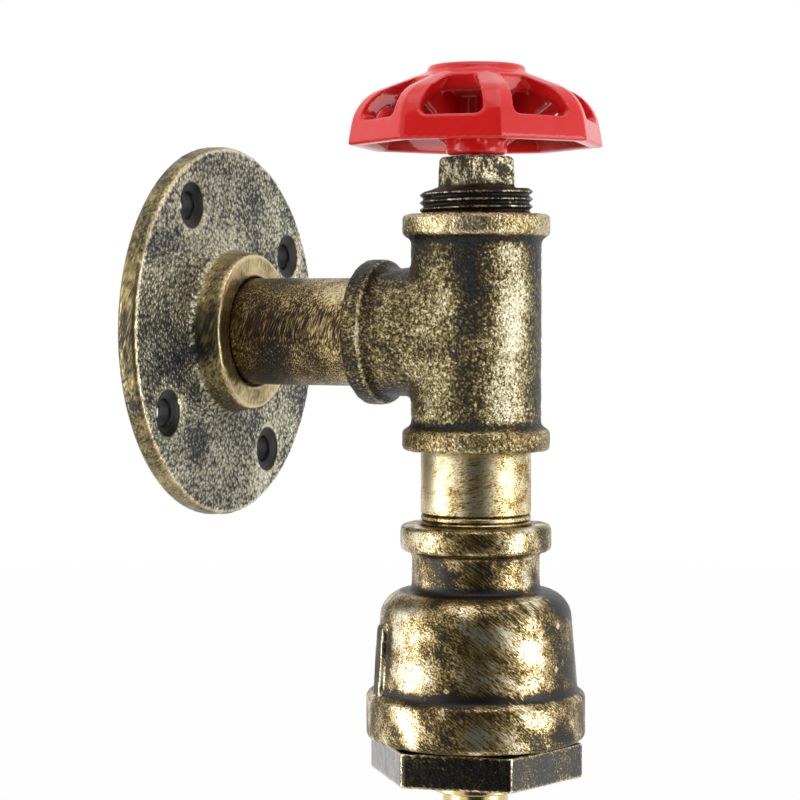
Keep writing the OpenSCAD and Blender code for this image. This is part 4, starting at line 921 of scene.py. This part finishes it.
# Rings along the pipe give its marks the vertices that they need.
rings = [(PIPE_R, HUB_END + 4 * i) for i in range(8)]
arm = turned("arm_pipe", [(BORE_R, ARM_LOW), (THREAD_R, ARM_LOW)] + rings
             + [(PIPE_R, BRANCH_END), (THREAD_R, ARM_TOP), (BORE_R, ARM_TOP), (BORE_R, ARM_LOW)],
             steps=160)
# Darker in the middle and lighter toward the tee, and painted shade: the arm's lower side is darker.
marked(arm, "soot_wear_and_painted_light", lambda x, y, z: -0.06 + 0.12 * worn_line(z, 23, 9) - 0.1 * ease(z, 24, 40)
       + 0.1 * ease(-y, 3, 11))
smooth(settle(arm, rotation=(math.pi / 2, 0, 0)))
dress(arm, "arm_nipple", arm_bronze)

# %% Drop pipe
DROP_LOW, BELL_TOP, TEE_FACE, DROP_TOP = -60, -46.5, -28.6, -15
grooves = [point for z in (BELL_TOP + 0.9, BELL_TOP + 2.4)
           for point in ((PIPE_R, z - 0.45), (PIPE_R - 0.4, z), (PIPE_R, z + 0.45))]
pipe = turned("drop_pipe", [(BORE_R, DROP_LOW), (12.2, DROP_LOW), (12.9, BELL_TOP - 1)] + grooves
              + [(PIPE_R, TEE_FACE), (12.9, TEE_FACE + 1), (12.4, DROP_TOP), (BORE_R, DROP_TOP),
                 (BORE_R, DROP_LOW)], steps=160)
# Darker in the thread's grooves and toward the reducer, and painted light: the middle that faces the camera
# is made a little lighter.
marked(pipe, "soot_wear_and_painted_light", lambda x, y, z: 0.3 * ease(PIPE_R - 0.1 - math.hypot(x, y), 0, 0.2)
       + 0.1 * ease(BELL_TOP + 3.6 - z, 0, 1)
       - 0.04 * worn_line(x * to_right.x + y * to_right.y, -3, 6))
smooth(settle(pipe, COLUMN))
dress(pipe, "drop_nipple", pipe_bronze)

# %% [markdown]
# ## The bell reducer
# The bell widens from the pipe to the lamp's end. Its collar and band are spun with it, and two
# ribs, which a pipe wrench would grip, stand on opposite sides.

# %% Bell reducer
BELL_LOW, BAND_TOP, NECK_LOW, COLLAR_FOOT = -98.6, -87.3, -62.5, BELL_TOP - 6.6
BAND_R, SHOULDER_R, NECK_R, RIM_R = 26.75, 23.4, 15.6, 18.4
WIDE_PORT_R, WAY_R, WAY_TOP, EDGE, SHOULDER = 20.8, 11.85, -61.3, 1.3, 7
outline = ([(WIDE_PORT_R, BELL_LOW)] + arc(BAND_R - EDGE, BELL_LOW + EDGE, EDGE, -90, 0)
           + arc(BAND_R - EDGE, BAND_TOP - EDGE, EDGE, 0, 80) + [(24.9, BAND_TOP + 0.2)]
           + arc(SHOULDER_R - SHOULDER, NECK_LOW - SHOULDER, SHOULDER, 0, 86, 10)
           + arc(NECK_R + 1.4, NECK_LOW + 1.2, 1.4, 260, 180)
           + arc(NECK_R + 1.2, COLLAR_FOOT - 1.2, 1.2, 180, 100)
           + arc(RIM_R - EDGE, COLLAR_FOOT + EDGE, EDGE, -80, 0)
           + arc(RIM_R - EDGE, BELL_TOP - EDGE, EDGE, 0, 90)
           + [(PORT_R + 0.6, BELL_TOP), (PORT_R, BELL_TOP - 0.6), (PORT_R - 0.5, WAY_TOP),
              (WAY_R, WAY_TOP), (WAY_R, NECK_LOW), (17.4, -69.5), (20.3, -82.6), (WIDE_PORT_R, BELL_LOW)])
bell = turned("cast_bell_reducer", outline, steps=160)
print("band of the bell:", 2 * BAND_R, "mm across")

# %% Grip ribs
# A rib's side view is cut to its front view, which has a gable at the top.
RIB_HALF, RIB_TURN, RIB_R, GABLE_REACH = 2.3, 134, 24, 40
rib_side = [(19.4, -66.0), (24.8, -70.5), (26.0, BAND_TOP - 1), (20.7, BAND_TOP - 1)]
rib_front = [(-RIB_HALF, -90), (RIB_HALF, -90), (RIB_HALF, -72), (0, -66.6), (-RIB_HALF, -72)]
for side in (0, math.pi):
    rib = prism("rib", rib_side, 2 * RIB_HALF)
    gable = prism("gable", rib_front, GABLE_REACH)
    settle(gable, (GABLE_REACH / 2 * MM, 0, 0), (0, 0, math.pi / 2))
    fuse(rib, gable, "INTERSECT")
    settle(rib, rotation=(0, 0, math.radians(RIB_TURN) + side))
    fuse(bell, rib)
melt(bell, voxel_mm=0.5)
soften(bell, rounds=6)
lumps(bell, size_mm=6, depth_mm=0.12)
print("a rib is", 2 * RIB_HALF, "mm wide")


# %% Marks on the bell
def bell_soot_and_painted_light(x, y, z):
    """Painted shadow above the band and painted shade under the neck, darker beside the ribs, on the neck and
    on the band, painted shade on the ribs' flat faces, the shoulder, left of the middle and at the right
    edge, painted highlights at the far left and right of the middle, and bright rib edges.
    """
    turn = math.degrees(math.atan2(y, x)) % 180 - RIB_TURN
    across = abs(math.radians(turn)) * RIB_R
    r, right = math.hypot(x, y), x * to_right.x + y * to_right.y
    on_band, above_band = ease(BAND_TOP - z, -1, 0), ease(z, BAND_TOP, BAND_TOP + 1)
    # Painted shadow above the band and painted shade under the neck.
    painted_shadow_above_band = worn_line(z, BAND_TOP + 1.1, 2.2) * ease(25.6 - r, 0, 0.6)
    painted_shade_under_neck = worn_line(z, NECK_LOW + 0.4, 2) * ease(19 - r, 0, 1)
    beside = worn_line(across, RIB_HALF + 1.2, 2.2) * ease(-z, 68, 72) * above_band
    rib = ease(r, 24.3, 24.7) * ease(-z, 66, 68) * above_band
    # flat is painted shade on each rib's face; crest is the rib's worn edge.
    flat, crest = ease(RIB_HALF - 0.3 - across, 0, 0.6) * rib, worn_line(across, RIB_HALF, 0.8) * rib
    painted_shade_shoulder = worn_line(z, NECK_LOW - 3, 5) * ease(right, -14, 4)
    # The terms in right follow the view: painted shade left of the middle, at the right edge and on the
    # shoulder, and painted highlights at the far left and right of the middle.
    return (0.36 * painted_shadow_above_band + 0.35 * painted_shade_under_neck + 0.25 * beside
            + 0.2 * ease(right, 12, 22) * (1 - 0.6 * on_band) + 0.16 * painted_shade_shoulder
            - 0.07 * worn_line(right, -18, 6) * (1 - beside) + 0.11 * worn_line(z, NECK_LOW + 5, 6)
            + 0.05 * on_band + 0.11 * worn_line(right, -8, 8) - 0.06 * worn_line(right, 11, 6)
            + 0.3 * flat - 0.35 * crest)


marked(bell, "soot_wear_and_painted_light", bell_soot_and_painted_light)
settle(bell, COLUMN)
dress(bell, "bell_reducer", bell_bronze)

# %% [markdown]
# ## The hexagon plug
# Six flats for a spanner close the wide end of the reducer. The corners are bevelled a little,
# and the threaded sleeve above them is out of sight.

# %% Hexagon plug
HEX_TOP, HEX_LOW, HEX_FLATS, HEX_TURN = -99.2, -107.7, 46, 41
HEX_R = HEX_FLATS / 2 / math.cos(math.pi / 6)
hexagon = begin("hexagon_plug", bpy.ops.mesh.primitive_cylinder_add, vertices=6, radius=HEX_R * MM,
                depth=(HEX_TOP - HEX_LOW) * MM)
settle(hexagon, (0, 0, (HEX_TOP + HEX_LOW) / 2 * MM))
settle(hexagon, rotation=(0, 0, math.radians(HEX_TURN + 30)))
modify(hexagon, "BEVEL", width=0.45 * MM, segments=3, limit_method="ANGLE")
SLEEVE_IN, TUBE_R = 15.5, 5.05
sleeve = [(SLEEVE_IN, -101), (20.6, -101), (20.2, -87), (SLEEVE_IN, -87), (SLEEVE_IN, -101)]
sleeve_hollow = [(0, -100.6), (SLEEVE_IN, -100.6), (SLEEVE_IN, -80), (0, -80)]
tube_way = [(0, -110), (TUBE_R, -110), (TUBE_R, -95), (0, -95)]
fuse(hexagon, turned("sleeve", sleeve, steps=96))
fuse(hexagon, turned("sleeve_hollow", sleeve_hollow, steps=96), "DIFFERENCE")
fuse(hexagon, turned("tube_way", tube_way, steps=64), "DIFFERENCE")
melt(hexagon, voxel_mm=0.45)
soften(hexagon, rounds=2)
lumps(hexagon, size_mm=3, depth_mm=0.1)
print("hexagon:", HEX_FLATS, "mm across its flats")


# %% Marks on the hexagon
def hexagon_soot(x, y, z):
    """Brass worn bright along the edges of the flats."""
    turn = (math.degrees(math.atan2(y, x)) - HEX_TURN) % 60
    corner = worn_line(min(turn, 60 - turn), 0, 1.4)
    edges = worn_line(z, HEX_TOP - 0.3, 0.7) + worn_line(z, HEX_LOW + 0.3, 0.7)
    return -0.3 * max(corner, min(edges, 1)) * ease(math.hypot(x, y), 21.5, 22.5)


marked(hexagon, "soot_wear_and_painted_light", hexagon_soot)
settle(hexagon, COLUMN)
dress(hexagon, "hex_plug", dark_bronze)

# %% [markdown]
# ## The contact spring
# A small coil presses the lampholder's centre contact against the bulb. When a bulb is screwed
# in, the contact moves up and the coil gets shorter, so the coil is a piece of its own, with a
# mesh of its own. The Screw modifier winds a circle into the coil.

# %% Contact spring
low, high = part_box("contact_spring")
WIRE_R, TURNS = 0.25 * MM, 5
COIL_R, COIL_PITCH = (high.x - low.x) / 2 - WIRE_R, (high.z - low.z - 2 * WIRE_R) / TURNS
spring = begin("contact_coil", bpy.ops.mesh.primitive_circle_add, vertices=10, radius=WIRE_R,
               location=(COIL_R, 0, 0), rotation=(math.pi / 2, 0, 0))
settle(spring, spring.location, spring.rotation_euler)
modify(spring, "SCREW", axis="Z", screw_offset=COIL_PITCH, iterations=TURNS, steps=28, render_steps=28,
       use_merge_vertices=False)
bpy.ops.object.mode_set(mode="EDIT")
bpy.ops.mesh.select_all(action="SELECT")
bpy.ops.mesh.fill_holes(sides=0)
close_up()
settle(spring, COLUMN + Vector((0, 0, low.z + WIRE_R)))
smooth(spring, 60)
dress(spring, "contact_spring", inner["zinc_steel"])
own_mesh(spring)
